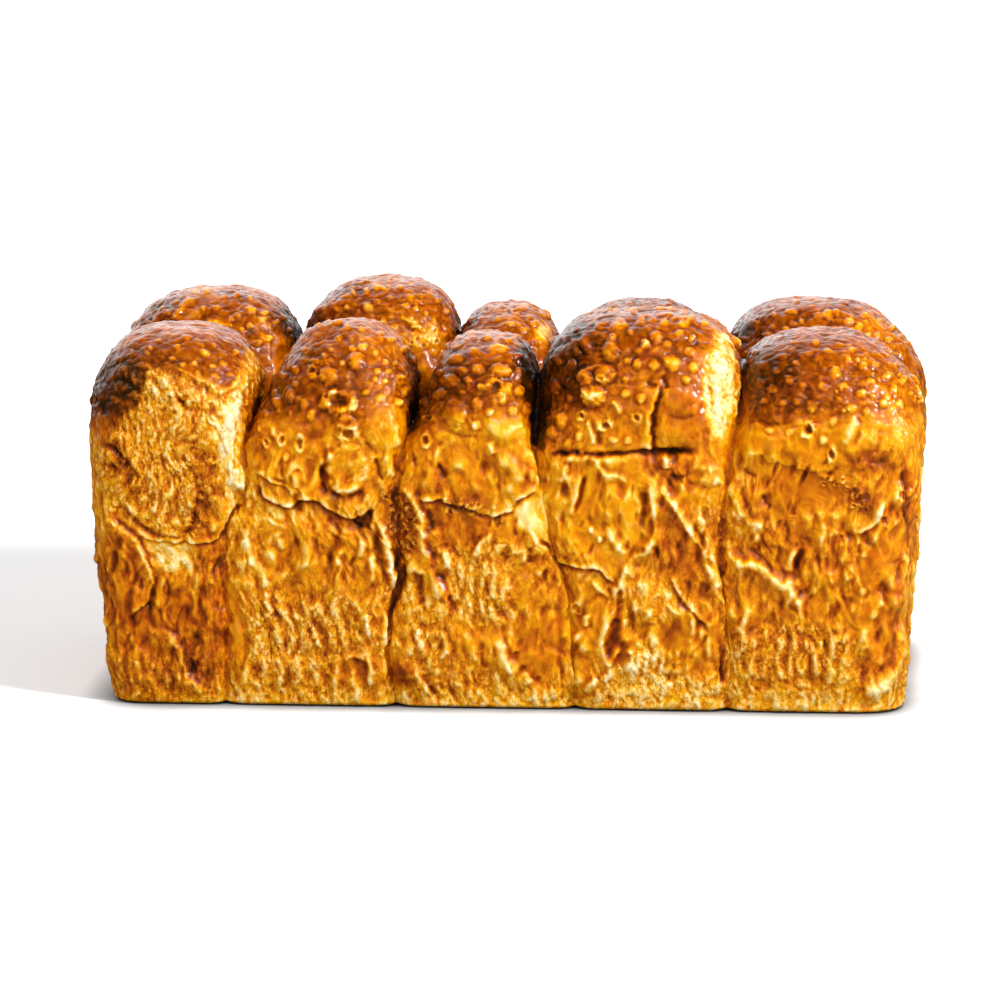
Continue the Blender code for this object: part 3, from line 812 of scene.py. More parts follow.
lump(386, 410, 14, 12, 0, 0.9, 0.0, power=3)
ridge([(385, 452), (388, 468), (394, 480)], 3.2, 0.9, 0.05)
groove([(377, 456), (378, 470), (383, 482)], 3.0, 1.2, 0.42)
groove([(394, 452), (397, 466), (402, 478)], 2.4, 1.0, 0.2)
groove([(362, 440), (372, 448), (377, 458)], 2.6, 0.8, 0.2)
ridge([(396, 420), (393, 436), (396, 450)], 3.4, 0.8, 0.12)
# ---- ball 2, side --------------------------------------------------------------
flap([(252, 483), (260, 487), (263, 497), (269, 500), (278, 504), (288, 508), (295, 505), (300, 501), (309, 500), (318, 503),
      (326, 508), (334, 514), (342, 517), (352, 520), (360, 526), (370, 529)], rise=1.4, reach=24, gap=3.2, deep=1.5,
     dark=0.40, pale=0.14)
flap([(255, 471), (263, 476), (271, 482), (279, 484), (288, 488), (292, 498)], rise=0.8, reach=8, gap=2, deep=0.6,
     dark=0.10, pale=0.16)
groove([(267, 474), (276, 479), (284, 482), (291, 487)], 1.8, 0.6, 0.26)
# a dent under the flap's end, darkened: painted shadow
patch([(352, 520), (372, 511), (371, 529), (360, 528)], 2.5, tone=0.27, high=-1.3)
groove([(284, 512), (300, 507), (318, 509), (334, 520), (352, 527), (374, 536)], 5.5, 0.7, 0.24, wobble=2.0)
ridge([(245, 524), (246, 539), (250, 558), (254, 574)], 2.6, 0.8, 0.13)
ridge([(257, 561), (263, 575), (268, 590)], 2.4, 0.7, 0.13)
ridge([(266, 520), (270, 534), (268, 550), (274, 566)], 2.4, 0.6, 0.10)
ridge([(276, 530), (278, 540), (284, 552)], 2.4, 0.7, 0.13)
ridge([(358, 537), (362, 546), (360, 560)], 2.4, 0.7, 0.14)
ridge([(346, 545), (340, 556), (336, 569), (338, 582)], 2.6, 0.7, 0.14)
ridge([(371, 550), (371, 573), (375, 586)], 2.6, 0.7, 0.13)
groove([(302, 537), (293, 546), (288, 558), (293, 569)], 4, 1.0, 0.26)
groove([(340, 532), (335, 543), (331, 554), (327, 569), (328, 585)], 4.2, 1.1, 0.26)
ridge([(308, 524), (312, 540), (308, 556), (312, 574)], 5, 0.9, 0.08)
fold([(392, 588), (389, 569), (386, 551), (382, 533), (377, 515)][::-1], 6, 2.6, 1.3, 0.20, 0.22)
groove([(375, 527), (377, 548), (380, 572)], 3.4, 1.0, 0.20)
groove([(232, 606), (244, 632), (242, 670)], 4.5, 0.5, -0.02)
for k in range(9):
    x = 262 + k * 13
    ridge([(x, 590 + 6 * (k % 3)), (x + 8, 612), (x + 17, 634 + 5 * (k % 2)), (x + 22, 654)], 2.4, 0.7, 0.10, wobble=2.0)
for k in range(8):
    x = 240 + k * 18
    ridge([(x, 654 - 4 * (k % 2)), (x + 5, 672), (x + 3, 690)], 2.4, 0.6, 0.10, wobble=2.0)
fold([(340, 662), (352, 656), (366, 660), (372, 672)], 5, 2.2, 0.8, 0.12, 0.2)
lump(314, 691, 5, 5, 0, -0.5, -0.05)
lump(358, 614, 5, 5, 0, -0.5, -0.05)
ridge([(380, 600), (385, 622), (382, 645), (384, 668), (388, 690)], 3.0, 0.8, 0.12)
ridge([(370, 596), (366, 616), (372, 640)], 2.6, 0.7, 0.10)
# ---- the scar between balls 2 and 3 --------------------------------------------
for k, (x, y) in enumerate(((386, 497), (398, 494), (392, 507), (405, 505), (399, 517), (410, 520), (393, 528), (405, 533),
                            (399, 542), (411, 545))):
    torn(x, y, 5, 4, 40 * k, high=0.7, deep=0.8, dark=0.16, pale=0.16, mouth=0.5)
groove([(397, 546), (405, 562), (399, 584), (394, 604), (389, 622)], 3.6, 1.4, 0.30)
fold([(391, 594), (390, 572), (388, 546), (380, 524)][::-1], 5, 2.2, 1.0, 0.14, 0.10)

# ---- ball 3, dome --------------------------------------------------------------
blisters([(499, 349, 11, 5, 0, .30), (456, 360, 8, 5, 10, .22), (463, 370, 6, 3, 0, .2), (478, 370, 7, 5, 0, .24),
          (500, 371, 11, 7.5, 0, .26), (450, 381, 10, 8, 0, .06), (468, 380, 5, 4, 0, .16), (440, 394, 9, 6, 20, .08),
          (477, 404, 6, 7, 0, .05), (489, 412, 4.5, 4.5, 0, .16), (476, 425, 5, 5, 0, .16), (502, 402, 4, 4, 0, .14),
          (456, 347, 6, 3, 20, .2), (474, 352, 6, 3.5, 0, .2), (518, 356, 5, 3.5, -10, .16), (520, 371, 6, 5, -20, .14),
          (519, 392, 6, 6, 0, .14), (512, 411, 5, 5, 0, .14), (431, 383, 4, 6, 10, .1), (424, 401, 4, 6, 15, .1),
          (462, 392, 4, 3, 0, .14), (508, 386, 4, 3.5, 0, .16), (481, 387, 4, 4, 0, .16), (528, 408, 5, 8, -10, .12),
          (532, 384, 5, 8, -10, .1), (440, 373, 5, 4, 20, .1), (487, 340, 5, 2.4, 0, .16), (508, 341, 5, 2.4, 0, .16)])
ids, r, a, b, k = oval(455, 413, 12.5, 13.5, 0, 1.7, -1)
r = r * (1.0 + 0.08 * RAG[ids])
H[ids] += k * 1.7 * np.clip(1.05 - r ** 2, 0, 1) ** 0.8
TONE[ids] += k * 0.06 * smooth(b * 1.4 + 0.4) * smooth((1.1 - r) / 0.3)
torn(496, 389, 11, 11, 0, high=1.3, deep=0.8, pale=0.22, dark=0.08, mouth=0.5)
torn(497, 386, 5, 5.5, 0, high=0.3, deep=0.9, dark=0.2, pale=0.1, mouth=0.75)
ridge([(488, 398), (497, 402), (506, 396), (509, 386)], 2.4, 0.6, 0.26)
torn(428, 418, 6.5, 5, 10, high=0.9, deep=0.8, dark=0.24, pale=0.22, mouth=0.4)
torn(426, 441, 7, 10, 0, high=1.1, deep=1.0, dark=0.26, pale=0.22, mouth=0.4)
lump(506, 429, 19, 11, 0, 1.2, 0.04, power=3)
ridge([(489, 440), (491, 447), (495, 455)], 2.4, 0.9, 0.16)
lump(459, 463, 10, 8, 0, 1.0, 0.05)
groove([(434, 463), (441, 469), (447, 480)], 3.4, 1.2, 0.30)
groove([(446, 430), (462, 436), (480, 436)], 2.2, 0.6, 0.14)
groove([(413, 414), (411, 432), (409, 452)], 2.6, 0.8, 0.22)
for k in range(5):
    ridge([(444 + k * 16, 346 - k), (454 + k * 16, 340 - k * 0.6), (464 + k * 15, 338)], 1.8, 0.4, 0.10, wobble=1.4)
# ---- ball 3, side --------------------------------------------------------------
flap([(412, 498), (422, 501), (431, 501), (441, 499), (448, 504), (456, 505), (469, 508), (488, 516), (497, 516), (504, 513),
      (510, 512), (515, 504), (523, 498), (533, 493), (541, 494)], rise=1.4, reach=24, gap=3.0, deep=1.0, dark=0.22, pale=0.14,
     wobble=1.8)
torn(497, 521, 5, 7, 0, high=0.3, deep=1.0, dark=0.3, pale=0.0, mouth=0.85)
for k, (x, y) in enumerate(((446, 503), (455, 509), (464, 504), (472, 511), (450, 513), (478, 505))):
    torn(x, y, 4.5, 3.5, 35 * k, high=0.6, deep=0.7, dark=0.14, pale=0.16, mouth=0.5)
fold([(397, 484), (411, 496), (417, 507), (421, 517), (422, 531), (422, 542), (425, 551), (431, 560), (436, 569)][::-1],
     6, 3.0, 1.3, 0.16, 0.30)
groove([(427, 507), (430, 519), (433, 533)], 3.2, 1.1, 0.28)
ridge([(417, 540), (412, 553), (411, 563), (414, 569), (423, 569), (431, 575), (437, 586), (444, 596), (449, 607), (452, 622)],
      4.2, 1.3, 0.13)
groove([(435, 567), (444, 584), (451, 604), (456, 616)], 3.2, 1.0, 0.30)
patch([(415, 575), (423, 574), (424, 602), (418, 605)], 3, tone=0.44, high=-0.6)
ridge([(495, 450), (505, 459), (515, 467), (520, 472), (515, 480), (508, 490), (502, 500)], 5.0, 1.2, 0.10)
groove([(519, 458), (527, 472), (524, 486), (519, 496)], 3.4, 1.0, 0.20)
groove([(488, 456), (496, 468), (500, 482), (494, 494)], 3.4, 0.7, 0.10)
ridge([(518, 438), (528, 454), (534, 470), (539, 485), (544, 501), (546, 517), (548, 533), (551, 545)], 3.2, 1.1, 0.20)
lump(470, 482, 20, 12, 10, 1.0, 0.02, power=3)
lump(428, 478, 10, 14, 0, 1.0, 0.02, power=3)
fold([(569, 612), (566, 591), (561, 575), (555, 560), (547, 549), (539, 544), (533, 535), (524, 532)], 8, 2.4, 1.2, 0.18, 0.26)
fold([(525, 565), (525, 547)], 4, 2, 0.8, 0.12, 0.26)
groove([(530, 546), (531, 556), (527, 566)], 2.4, 0.9, 0.26)
fold([(472, 560), (477, 547), (486, 538), (494, 533)][::-1], 8, 2, 0.8, 0.14, 0.28)
groove([(517, 516), (514, 528), (516, 540)], 2.4, 0.8, 0.18)
ridge([(437, 536), (441, 548), (448, 560), (452, 576)], 3.0, 0.8, 0.10)
for k in range(5):
    ridge([(458 + k * 11, 556 + 5 * (k % 2)), (461 + k * 11, 576), (458 + k * 11, 598), (462 + k * 10.5, 617)], 2.4, 0.6, 0.09, wobble=2.2)
fold([(414, 669), (423, 684), (431, 696)][::-1], 6, 2.2, 1.1, 0.26, 0.16)
groove([(419, 672), (432, 690), (440, 703)], 2.6, 0.9, 0.26)
groove([(444, 669), (451, 690), (458, 706)], 2.0, 0.7, 0.22)
lump(404, 672, 12, 10, 0, 0.8, 0.0, power=3)
ridge([(494, 634), (500, 645), (502, 655), (508, 667), (509, 681)], 4.6, 1.3, 0.18)
groove([(483, 638), (481, 653), (486, 670)], 3.2, 1.0, 0.24)
groove([(502, 633), (509, 647), (512, 664)], 2.8, 0.9, 0.26)
ridge([(522, 669), (532, 686)], 3.6, 1.0, 0.14)
groove([(520, 663), (534, 679), (543, 676)], 3.0, 0.9, 0.22)
ridge([(566, 591), (568, 606), (569, 636), (569, 662), (572, 688), (575, 702)], 3.0, 1.0, 0.22)
groove([(560, 600), (560, 630), (556, 660)], 3.6, 0.6, 0.08)
for k in range(6):
    ridge([(404 + k * 12, 622 + 6 * (k % 2)), (408 + k * 12, 640), (412 + k * 13, 660 + 4 * (k % 3))], 2.4, 0.6, 0.09, wobble=2.2)

# ---- ball 4, dome --------------------------------------------------------------
blisters([(620, 326, 9, 6, 0, .28), (586, 345, 5.5, 9, 20, .14), (610, 350, 9, 12, 0, .10), (613, 337, 4, 4, 0, .2),
          (656, 338, 6, 6.5, 0, .26), (628, 361, 4, 5, 0, .18), (637, 364, 5, 6, 0, .2), (654, 365, 5.5, 6, 0, .22),
          (672, 363, 9, 9, 0, .28), (704, 324, 5, 4, 0, .26), (679, 334, 4.5, 3.5, 0, .24), (692, 339, 3.5, 3.5, 0, .24),
          (683, 326, 7, 3, -5, .26), (631, 334, 4, 3, 0, .2), (625, 380, 3.5, 3.5, 0, .14), (604, 375, 10.5, 8, 0, .10),
          (584, 378, 8, 8, 0, .06), (593, 396, 13, 12, 0, .12), (553, 432, 5, 8, 0, .10), (562, 421, 6, 9, -10, .14),
          (566, 340, 5, 4, 30, .1), (575, 330, 5, 3, 20, .12), (600, 327, 6, 4, 10, .14), (641, 323, 6, 4, 0, .2),
          (664, 324, 5, 3.5, 0, .24), (667, 345, 5, 4, 0, .22), (645, 345, 5, 5, 0, .18), (690, 352, 6, 5, 0, .22),
          (694, 367, 6, 6, 0, .18), (686, 380, 5, 5, 0, .16), (558, 360, 4, 7, 20, .08), (571, 364, 5, 7, 10, .08),
          (556, 388, 5, 8, 5, .08), (570, 398, 4, 5, 0, .10), (625, 394, 5, 5, 0, .14), (640, 398, 6, 5, 0, .16),
          (568, 443, 4, 5, 0, .1), (579, 436, 4, 5, 0, .1), (613, 440, 5, 4, 0, .12), (628, 440, 5, 4, 0, .1)])
fold([(608, 384), (614, 377), (614, 371), (606, 366), (593, 367), (582, 371), (576, 380)], 5, 1.8, 0.7, 0.18, 0.16)
ridge([(633, 355), (642, 350), (650, 341)], 2.6, 0.7, 0.30)
groove([(646, 381), (652, 385), (659, 387)], 3.4, 1.2, 0.30)
groove([(662, 373), (665, 382), (668, 391)], 3.6, 1.3, 0.34)
flap([(652, 452), (651, 430), (652, 416), (656, 402), (659, 388), (661, 376)], rise=1.0, reach=12, gap=3.2, deep=2.0,
     dark=0.8, pale=0.12, wobble=1.8, ends=(0.04, 0.3))
torn(594, 388, 14, 12, 10, high=1.1, deep=0.4, dark=0.10, pale=0.13, mouth=0.5)
torn(601, 378, 7, 5, -20, high=0.8, deep=0.4, dark=0.12, pale=0.12, mouth=0.4)
lump(688, 402, 16, 16, 0, 1.1, 0.02, power=3)
lump(682, 432, 20, 12, 0, 0.9, 0.04, power=3)
groove([(664, 416), (680, 418), (700, 414)], 2.2, 0.5, 0.12)
torn(582, 416, 6.5, 6.5, 0, high=0.9, deep=0.8, dark=0.22, pale=0.20, mouth=0.4)
torn(606, 426, 8.5, 7.5, 0, high=1.0, deep=0.9, dark=0.22, pale=0.22, mouth=0.4)
torn(637, 418, 6.5, 6.5, 0, high=0.9, deep=0.8, dark=0.22, pale=0.22, mouth=0.4)
fold([(594, 446), (592, 433), (586, 420)], 4, 2.2, 0.8, 0.10, 0.28)
groove([(597, 428), (599, 440), (597, 450)], 2.8, 1.0, 0.28)
ridge([(612, 399), (618, 408), (621, 415)], 1.8, 0.9, 0.26)
blister(581, 453, 3, 3, 0, 0.8, 0.34)
groove([(545, 455), (572, 453), (600, 455), (637, 452), (656, 452), (701, 451)], 2.8, 1.7, 0.75, wobble=1.4, ends=(0.12, 0.2))
groove([(636, 454), (660, 454), (684, 453), (703, 452)], 3.6, 1.2, 0.5, wobble=1.4)
ridge([(556, 460), (580, 458), (610, 460), (632, 458)], 3.4, 0.6, 0.10)
for x, y, rx, ry in ((609, 310, 4.5, 3), (615, 312, 3, 3), (633, 311, 6, 2.6), (660, 308, 6, 2.4), (672, 309, 6, 2.6),
                     (684, 313, 5, 2.6), (692, 318, 4, 3)):
    blister(x, y, rx, ry, 0, pale=0.2)
torn(647.5, 320, 4, 3.5, 0, high=0.5, deep=1.2, dark=0.34, pale=0.16, mouth=0.6)
groove([(636, 311), (646, 312), (656, 312)], 1.6, 0.6, 0.24)
groove([(619, 308), (625, 309)], 2.0, 1.0, 0.24)
ridge([(606, 315), (620, 310), (636, 308), (652, 307), (670, 309), (686, 314), (697, 321)], 1.3, 0.35, 0.24, wobble=1.8)
for k in range(5):
    fold([(656 + k * 7, 320 + k * 1.5), (664 + k * 7, 317 + k * 1.5), (672 + k * 6.5, 320 + k * 2)], 4, 1.4, 0.5, 0.16, 0.12)
for k in range(5):
    ridge([(548 + k * 9, 374 - k * 6), (554 + k * 9, 358 - k * 5), (564 + k * 9, 345 - k * 4)], 2.0, 0.5, 0.10, wobble=1.6)
for k in range(6):
    x = 716 + k * 5
    ridge([(x, 352 + k * 2), (x + 1, 378), (x - 1 - k, 404), (x - 2 - 2 * k, 432)], 1.9, 0.5, 0.08, wobble=1.5)
groove([(708, 362), (711, 388), (714, 416), (716, 432)], 2.0, 0.7, 0.16)
# ---- ball 4, side --------------------------------------------------------------
ridge([(567, 461), (565, 469), (564, 478), (559, 485)], 3.0, 1.0, 0.16)
groove([(569, 460), (570, 468), (568, 478)], 2.2, 0.9, 0.28)
fold([(571, 517), (574, 503), (579, 483), (577, 473)], 6, 2.4, 1.2, 0.18, 0.20)
groove([(588, 473), (582, 488), (578, 505), (572, 515)], 2.8, 1.0, 0.26)
fold([(629, 484), (619, 477), (608, 474), (600, 468), (597, 458)], 6, 2.4, 1.1, 0.18, 0.20)
# a dent under the crack's lip, darkened: painted shadow
patch([(641, 453), (661, 452), (662, 468), (652, 476), (643, 470)], 4, tone=0.42, high=-0.9)
ridge([(667, 457), (666, 470)], 2.4, 1.2, 0.22)
fold([(626, 556), (634, 557), (645, 552), (650, 544), (655, 533), (655, 521), (653, 501), (650, 483), (646, 474)][::-1],
     8, 3.0, 1.5, 0.18, 0.26)
groove([(642, 490), (645, 505), (646, 520)], 3.2, 1.1, 0.26)
fold([(662, 487), (670, 500), (678, 511), (685, 524), (693, 537), (701, 547), (706, 562), (711, 577), (715, 590), (712, 601)],
     6, 2.8, 1.3, 0.20, 0.24)
ridge([(698, 512), (704, 526), (710, 547), (716, 569)], 2.8, 0.9, 0.16)
groove([(690, 520), (698, 534), (705, 552)], 2.4, 0.7, 0.16)
groove([(667, 474), (680, 478), (693, 470)], 3.4, 1.2, 0.24)
for k in range(4):
    ridge([(703 + k * 6, 462 + k), (706 + k * 5, 474), (703 + k * 6, 488)], 2.0, 0.7, 0.06, wobble=1.6)
ridge([(608, 523), (611, 537), (618, 546), (630, 556)], 3.6, 1.0, 0.14)
blister(591, 530, 3, 4, 0, 0.7, 0.24)
blister(600, 539, 3, 4, 0, 0.7, 0.24)
lump(612, 505, 22, 18, 0, 0.9, 0.0, power=3)
groove([(588, 512), (592, 524), (602, 534)], 3.0, 0.6, 0.10)
flap([(540, 537), (548, 544), (551, 551), (559, 561), (568, 565), (582, 569), (596, 569), (604, 574), (611, 581), (617, 586)],
     rise=1.3, reach=20, gap=3.0, deep=1.3, dark=0.34, pale=0.14)
fold([(611, 598), (606, 595), (599, 588), (591, 581)][::-1], 5, 2.2, 0.9, 0.14, 0.24)
fold([(629, 560), (624, 572), (621, 583), (616, 590), (615, 604)], 10, 2.6, 1.3, 0.18, 0.26)
flap([(668, 577), (675, 588), (681, 600), (687, 605), (695, 613), (703, 623), (712, 632)], rise=0.9, reach=10, gap=2.8,
     deep=1.3, dark=0.40, pale=0.16)
# ---- ball 4, low ---------------------------------------------------------------
fold([(608, 669), (606, 661), (603, 652), (602, 642), (605, 632), (609, 624), (613, 616), (615, 601), (615, 590)],
     8, 2.6, 1.2, 0.20, 0.20)
fold([(608, 668), (612, 661), (617, 653), (622, 652)], 5, 2.0, 0.9, 0.26, 0.16)
blister(605, 678, 4.5, 4.5, 0, 0.9, 0.16)
lump(613, 636, 6, 15, 0, 0.7, 0.09)
fold([(598, 675), (590, 684), (584, 692)], 6, 2.2, 0.8, 0.16, 0.2)
ridge([(576, 630), (582, 642), (591, 653)], 3.0, 0.9, 0.18)
torn(577, 608, 5, 8, 0, high=0.7, deep=0.8, dark=0.22, pale=0.2, mouth=0.5)
ridge([(585, 614), (588, 627)], 2.4, 0.8, 0.18)
ridge([(650, 607), (651, 625)], 2.6, 0.8, 0.16)
lump(670, 596, 5, 6, 0, 0.8, 0.16)
lump(656, 640, 5, 5, 0, 0.8, 0.12)
groove([(628, 600), (632, 620), (630, 640)], 3.2, 0.7, 0.16)
ridge([(640, 575), (642, 596), (638, 618)], 4.0, 0.9, 0.10)
ridge([(686, 606), (693, 619), (693, 634), (691, 640)], 2.8, 0.9, 0.15)
ridge([(698, 622), (702, 636), (700, 645), (695, 654), (690, 664)], 2.8, 0.9, 0.15)
groove([(709, 632), (701, 645), (692, 655), (689, 662)], 2.6, 0.9, 0.26)
ridge([(708, 635), (709, 650), (710, 662)], 2.4, 0.7, 0.14)
fold([(714, 589), (721, 601), (724, 613), (727, 624)], 5, 2.2, 0.9, 0.16, 0.22)
ridge([(728, 634), (730, 654), (730, 670), (729, 688), (727, 703)], 3.0, 1.0, 0.24)
groove([(722, 643), (723, 664), (722, 690)], 3.2, 1.1, 0.26)
groove([(667, 674), (668, 683)], 1.8, 0.7, 0.26)
groove([(651, 693), (656, 699), (662, 706)], 1.8, 0.7, 0.26)
for k in range(7):
    x = 628 + k * 8
    ridge([(x, 646 + 5 * (k % 2)), (x + 3, 660), (x - 1, 676)], 2.0, 0.6, 0.08, wobble=2.0)
ridge([(574, 655), (580, 672), (578, 690)], 4.0, 0.8, 0.10)

# ---- ball 5, dome --------------------------------------------------------------
blisters([(812, 406, 6.5, 7, 0, .12), (833, 422, 4, 6, -10, .14),
          (862, 394, 6, 5, 0, .18), (874, 397, 3.5, 3.5, 0, .16), (888, 376, 6, 4, 0, .2), (835, 373, 7, 6.5, 0, .18),
          (823, 387, 6, 5, 0, .14), (803, 386, 4.5, 4, 0, .10), (844, 386, 7, 4, 0, .16), (816, 342, 4, 3, 0, .24),
          (793, 341, 6, 3, 0, .06), (782, 357, 8, 3.4, 10, .10), (809, 354, 5, 3.2, 0, .16), (796, 364, 4, 3.5, 0, .10),
          (777, 372, 4, 3.5, 0, .06), (828, 351, 5, 3, 0, .22), (848, 360, 4.5, 3.2, 0, .2), (852, 350, 4, 3, 0, .2),
          (765, 366, 6, 5, 20, .05), (760, 384, 5, 6, 0, .05), (773, 389, 6, 5, 0, .05), (790, 380, 5, 5, 0, .06),
          (764, 402, 5, 4, 0, .05), (781, 403, 6, 4, 0, .06), (797, 402, 5, 4, 0, .07), (755, 352, 5, 3, 20, .1),
          (863, 366, 5, 4, 0, .2), (876, 364, 5, 3.5, 0, .18), (871, 381, 5, 4, 0, .18), (894, 389, 4, 5, 0, .18),
          (903, 380, 4, 5, 0, .18), (884, 404, 5, 5, 0, .16), (851, 408, 5, 5, 0, .16), (838, 400, 4, 4, 0, .14),
          (901, 404, 5, 6, 0, .12), (866, 412, 4, 5, -10, .12),
          (823, 440, 5, 5, 0, .12), (790, 432, 5, 4, 0, .08), (770, 430, 5, 4, 0, .08), (840, 344, 5, 2.6, 0, .2)])
lump(850, 431, 13, 16, -20, 0.8, 0.03)
lump(873, 436, 8, 14, -10, 0.7, 0.03)
lump(897, 428, 9, 13, 0, 0.7, 0.02)
rng = np.random.default_rng(5)
for _ in range(44):
    x, y = rng.uniform(790, 912), rng.uniform(342, 412)
    r = rng.uniform(1.2, 2.6)
    blister(x, y, r, r * rng.uniform(0.7, 1.2), pale=0.05 + 0.16 * float(smooth((x - 790) / 60)), ring=0.03)
torn(808, 430, 9.5, 9.5, 0, high=1.2, deep=0.8, dark=0.10, pale=0.22, mouth=0.5)
torn(810, 429, 4.5, 6, 0, high=0.2, deep=1.2, dark=0.34, pale=0.0, mouth=0.8)
torn(832, 454, 5.5, 10, 0, high=0.9, deep=1.0, dark=0.26, pale=0.16, mouth=0.45)
ridge([(853, 412), (850, 430), (842, 447)], 2.6, 0.5, 0.05)
groove([(858, 410), (859, 430), (852, 450)], 2.6, 0.6, 0.14)
groove([(878, 424), (879, 442), (872, 456)], 2.6, 0.8, 0.20)
lump(772, 444, 28, 14, 0, 1.1, 0.0, power=3)
lump(898, 446, 14, 18, 0, 0.9, 0.0, power=3)
groove([(752, 420), (776, 424), (798, 420)], 2.2, 0.5, 0.10)
torn(918, 399, 4, 6.5, 0, high=0.7, deep=0.5, dark=0.14, pale=0.22, mouth=0.4)
# ---- ball 5, side --------------------------------------------------------------
flap([(742, 458), (758, 457), (773, 460), (788, 463), (802, 469), (815, 471), (825, 478), (834, 480), (841, 484), (855, 492),
      (866, 504)], rise=0.4, reach=16, gap=2.6, deep=0.12, dark=0.02, pale=0.12, wobble=5.0)
for k, (x, y) in enumerate(((829, 478), (836, 484), (843, 480), (848, 488), (855, 496), (861, 503), (866, 509), (853, 505),
                            (860, 495), (824, 484))):
    torn(x, y, 4, 3.2, 50 * k, high=0.6, deep=0.6, dark=0.12, pale=0.2, mouth=0.45)
lump(753, 456, 9, 8, 0, 0.9, 0.03)
groove([(743, 466), (749, 474), (758, 477)], 2.8, 1.1, 0.28)
lump(757, 510, 14, 12, 0, 1.2, 0.03)
groove([(762, 494), (767, 502), (771, 511)], 2.2, 0.9, 0.26)
lump(777, 504, 8, 7, 0, 0.8, -0.03)
ridge([(732, 482), (736, 498), (740, 511), (747, 523)], 3.6, 1.2, 0.20)
groove([(740, 484), (744, 498), (748, 512)], 2.6, 0.9, 0.26)
ridge([(742, 522), (758, 524), (768, 529)], 3.0, 1.0, 0.18)
ridge([(754, 524), (757, 536), (760, 544)], 2.4, 0.7, 0.16)
groove([(741, 546), (757, 555), (770, 568), (777, 578)], 4.2, 1.3, 0.30)
fold([(724, 545), (732, 556), (743, 562), (758, 564), (770, 573), (779, 582), (788, 586), (796, 596), (800, 609), (795, 622)][::-1],
     8, 3.0, 1.2, 0.10, 0.06)
ridge([(724, 547), (732, 558), (743, 565), (758, 568), (770, 577), (779, 586), (788, 590), (796, 600), (799, 610), (794, 622)],
      3.0, 0.6, 0.13)
fold([(789, 574), (792, 559), (799, 545)], 6, 2.4, 1.0, 0.20, 0.26)
groove([(803, 546), (799, 560), (794, 572)], 3.6, 1.1, 0.28)
ridge([(783, 580), (794, 583), (803, 580)], 2.8, 0.9, 0.2)
fold([(849, 533), (861, 530), (875, 522), (880, 511), (886, 496)], 6, 2.6, 1.2, 0.22, 0.26)
ridge([(882, 518), (878, 530), (872, 546)], 2.6, 0.8, 0.18)
torn(885, 521, 3.5, 5, 0, high=0.3, deep=1.0, dark=0.32, pale=0.06, mouth=0.8)
ridge([(849, 534), (845, 547), (842, 567)], 2.8, 0.9, 0.2)
ridge([(866, 542), (861, 558)], 2.6, 0.8, 0.18)
groove([(842, 534), (843, 543)], 2.6, 0.9, 0.3)
groove([(859, 543), (858, 555)], 2.8, 0.9, 0.26)
ridge([(850, 562), (846, 574), (852, 581)], 2.8, 0.8, 0.18)
lump(895, 499, 10, 9, 0, 0.9, 0.03)
torn(901, 495, 4, 4.5, 0, high=0.4, deep=1.0, dark=0.34, pale=0.1, mouth=0.8)
groove([(905, 462), (904, 475), (905, 484), (905, 511), (908, 525), (912, 534)], 2.4, 1.0, 0.28)
blister(909, 492, 4, 5, 0, 0.6, 0.06)
ridge([(879, 565), (889, 577), (891, 593), (891, 614)], 3.4, 1.0, 0.16)
ridge([(900, 538), (902, 552), (901, 573), (899, 593), (897, 621)], 3.4, 1.1, 0.20)
blister(863, 592, 4.5, 4.5, 0, 0.7, 0.16)
ridge([(818, 505), (824, 520), (822, 538), (828, 556)], 3.4, 0.8, 0.10)
ridge([(836, 510), (834, 524), (838, 538)], 3.0, 0.8, 0.10)
ridge([(806, 512), (810, 528), (808, 542)], 3.0, 0.7, 0.10)
groove([(784, 520), (788, 534), (784, 548)], 3.0, 0.7, 0.16)
ridge([(814, 560), (818, 580), (812, 600)], 3.0, 0.8, 0.12)
ridge([(832, 570), (830, 590), (836, 610)], 3.0, 0.8, 0.12)
ridge([(760, 590), (768, 606), (764, 624)], 3.2, 0.8, 0.12)
# ---- ball 5, low ---------------------------------------------------------------
ridge([(727, 603), (738, 620), (739, 636)], 2.8, 0.8, 0.15)
ridge([(745, 589), (749, 605), (743, 624), (747, 638), (755, 649)], 3.0, 0.9, 0.16)
lump(821, 633, 5, 5, 0, -0.5, -0.05)
ridge([(890, 590), (893, 606), (890, 625)], 2.8, 0.8, 0.14)
ridge([(882, 597), (876, 608), (872, 621)], 2.8, 0.8, 0.14)
ridge([(861, 624), (865, 642), (861, 652)], 3.0, 0.8, 0.14)
ridge([(902, 615), (902, 644), (895, 666), (889, 678), (878, 688), (865, 693), (858, 702)], 4.6, 1.2, 0.18)
for k in range(9):
    x = 740 + k * 13
    ridge([(x, 626 + 6 * (k % 2)), (x + 3, 644), (x - 2, 662 + 4 * (k % 3)), (x + 2, 682)], 2.5, 0.7, 0.10, wobble=2.2)

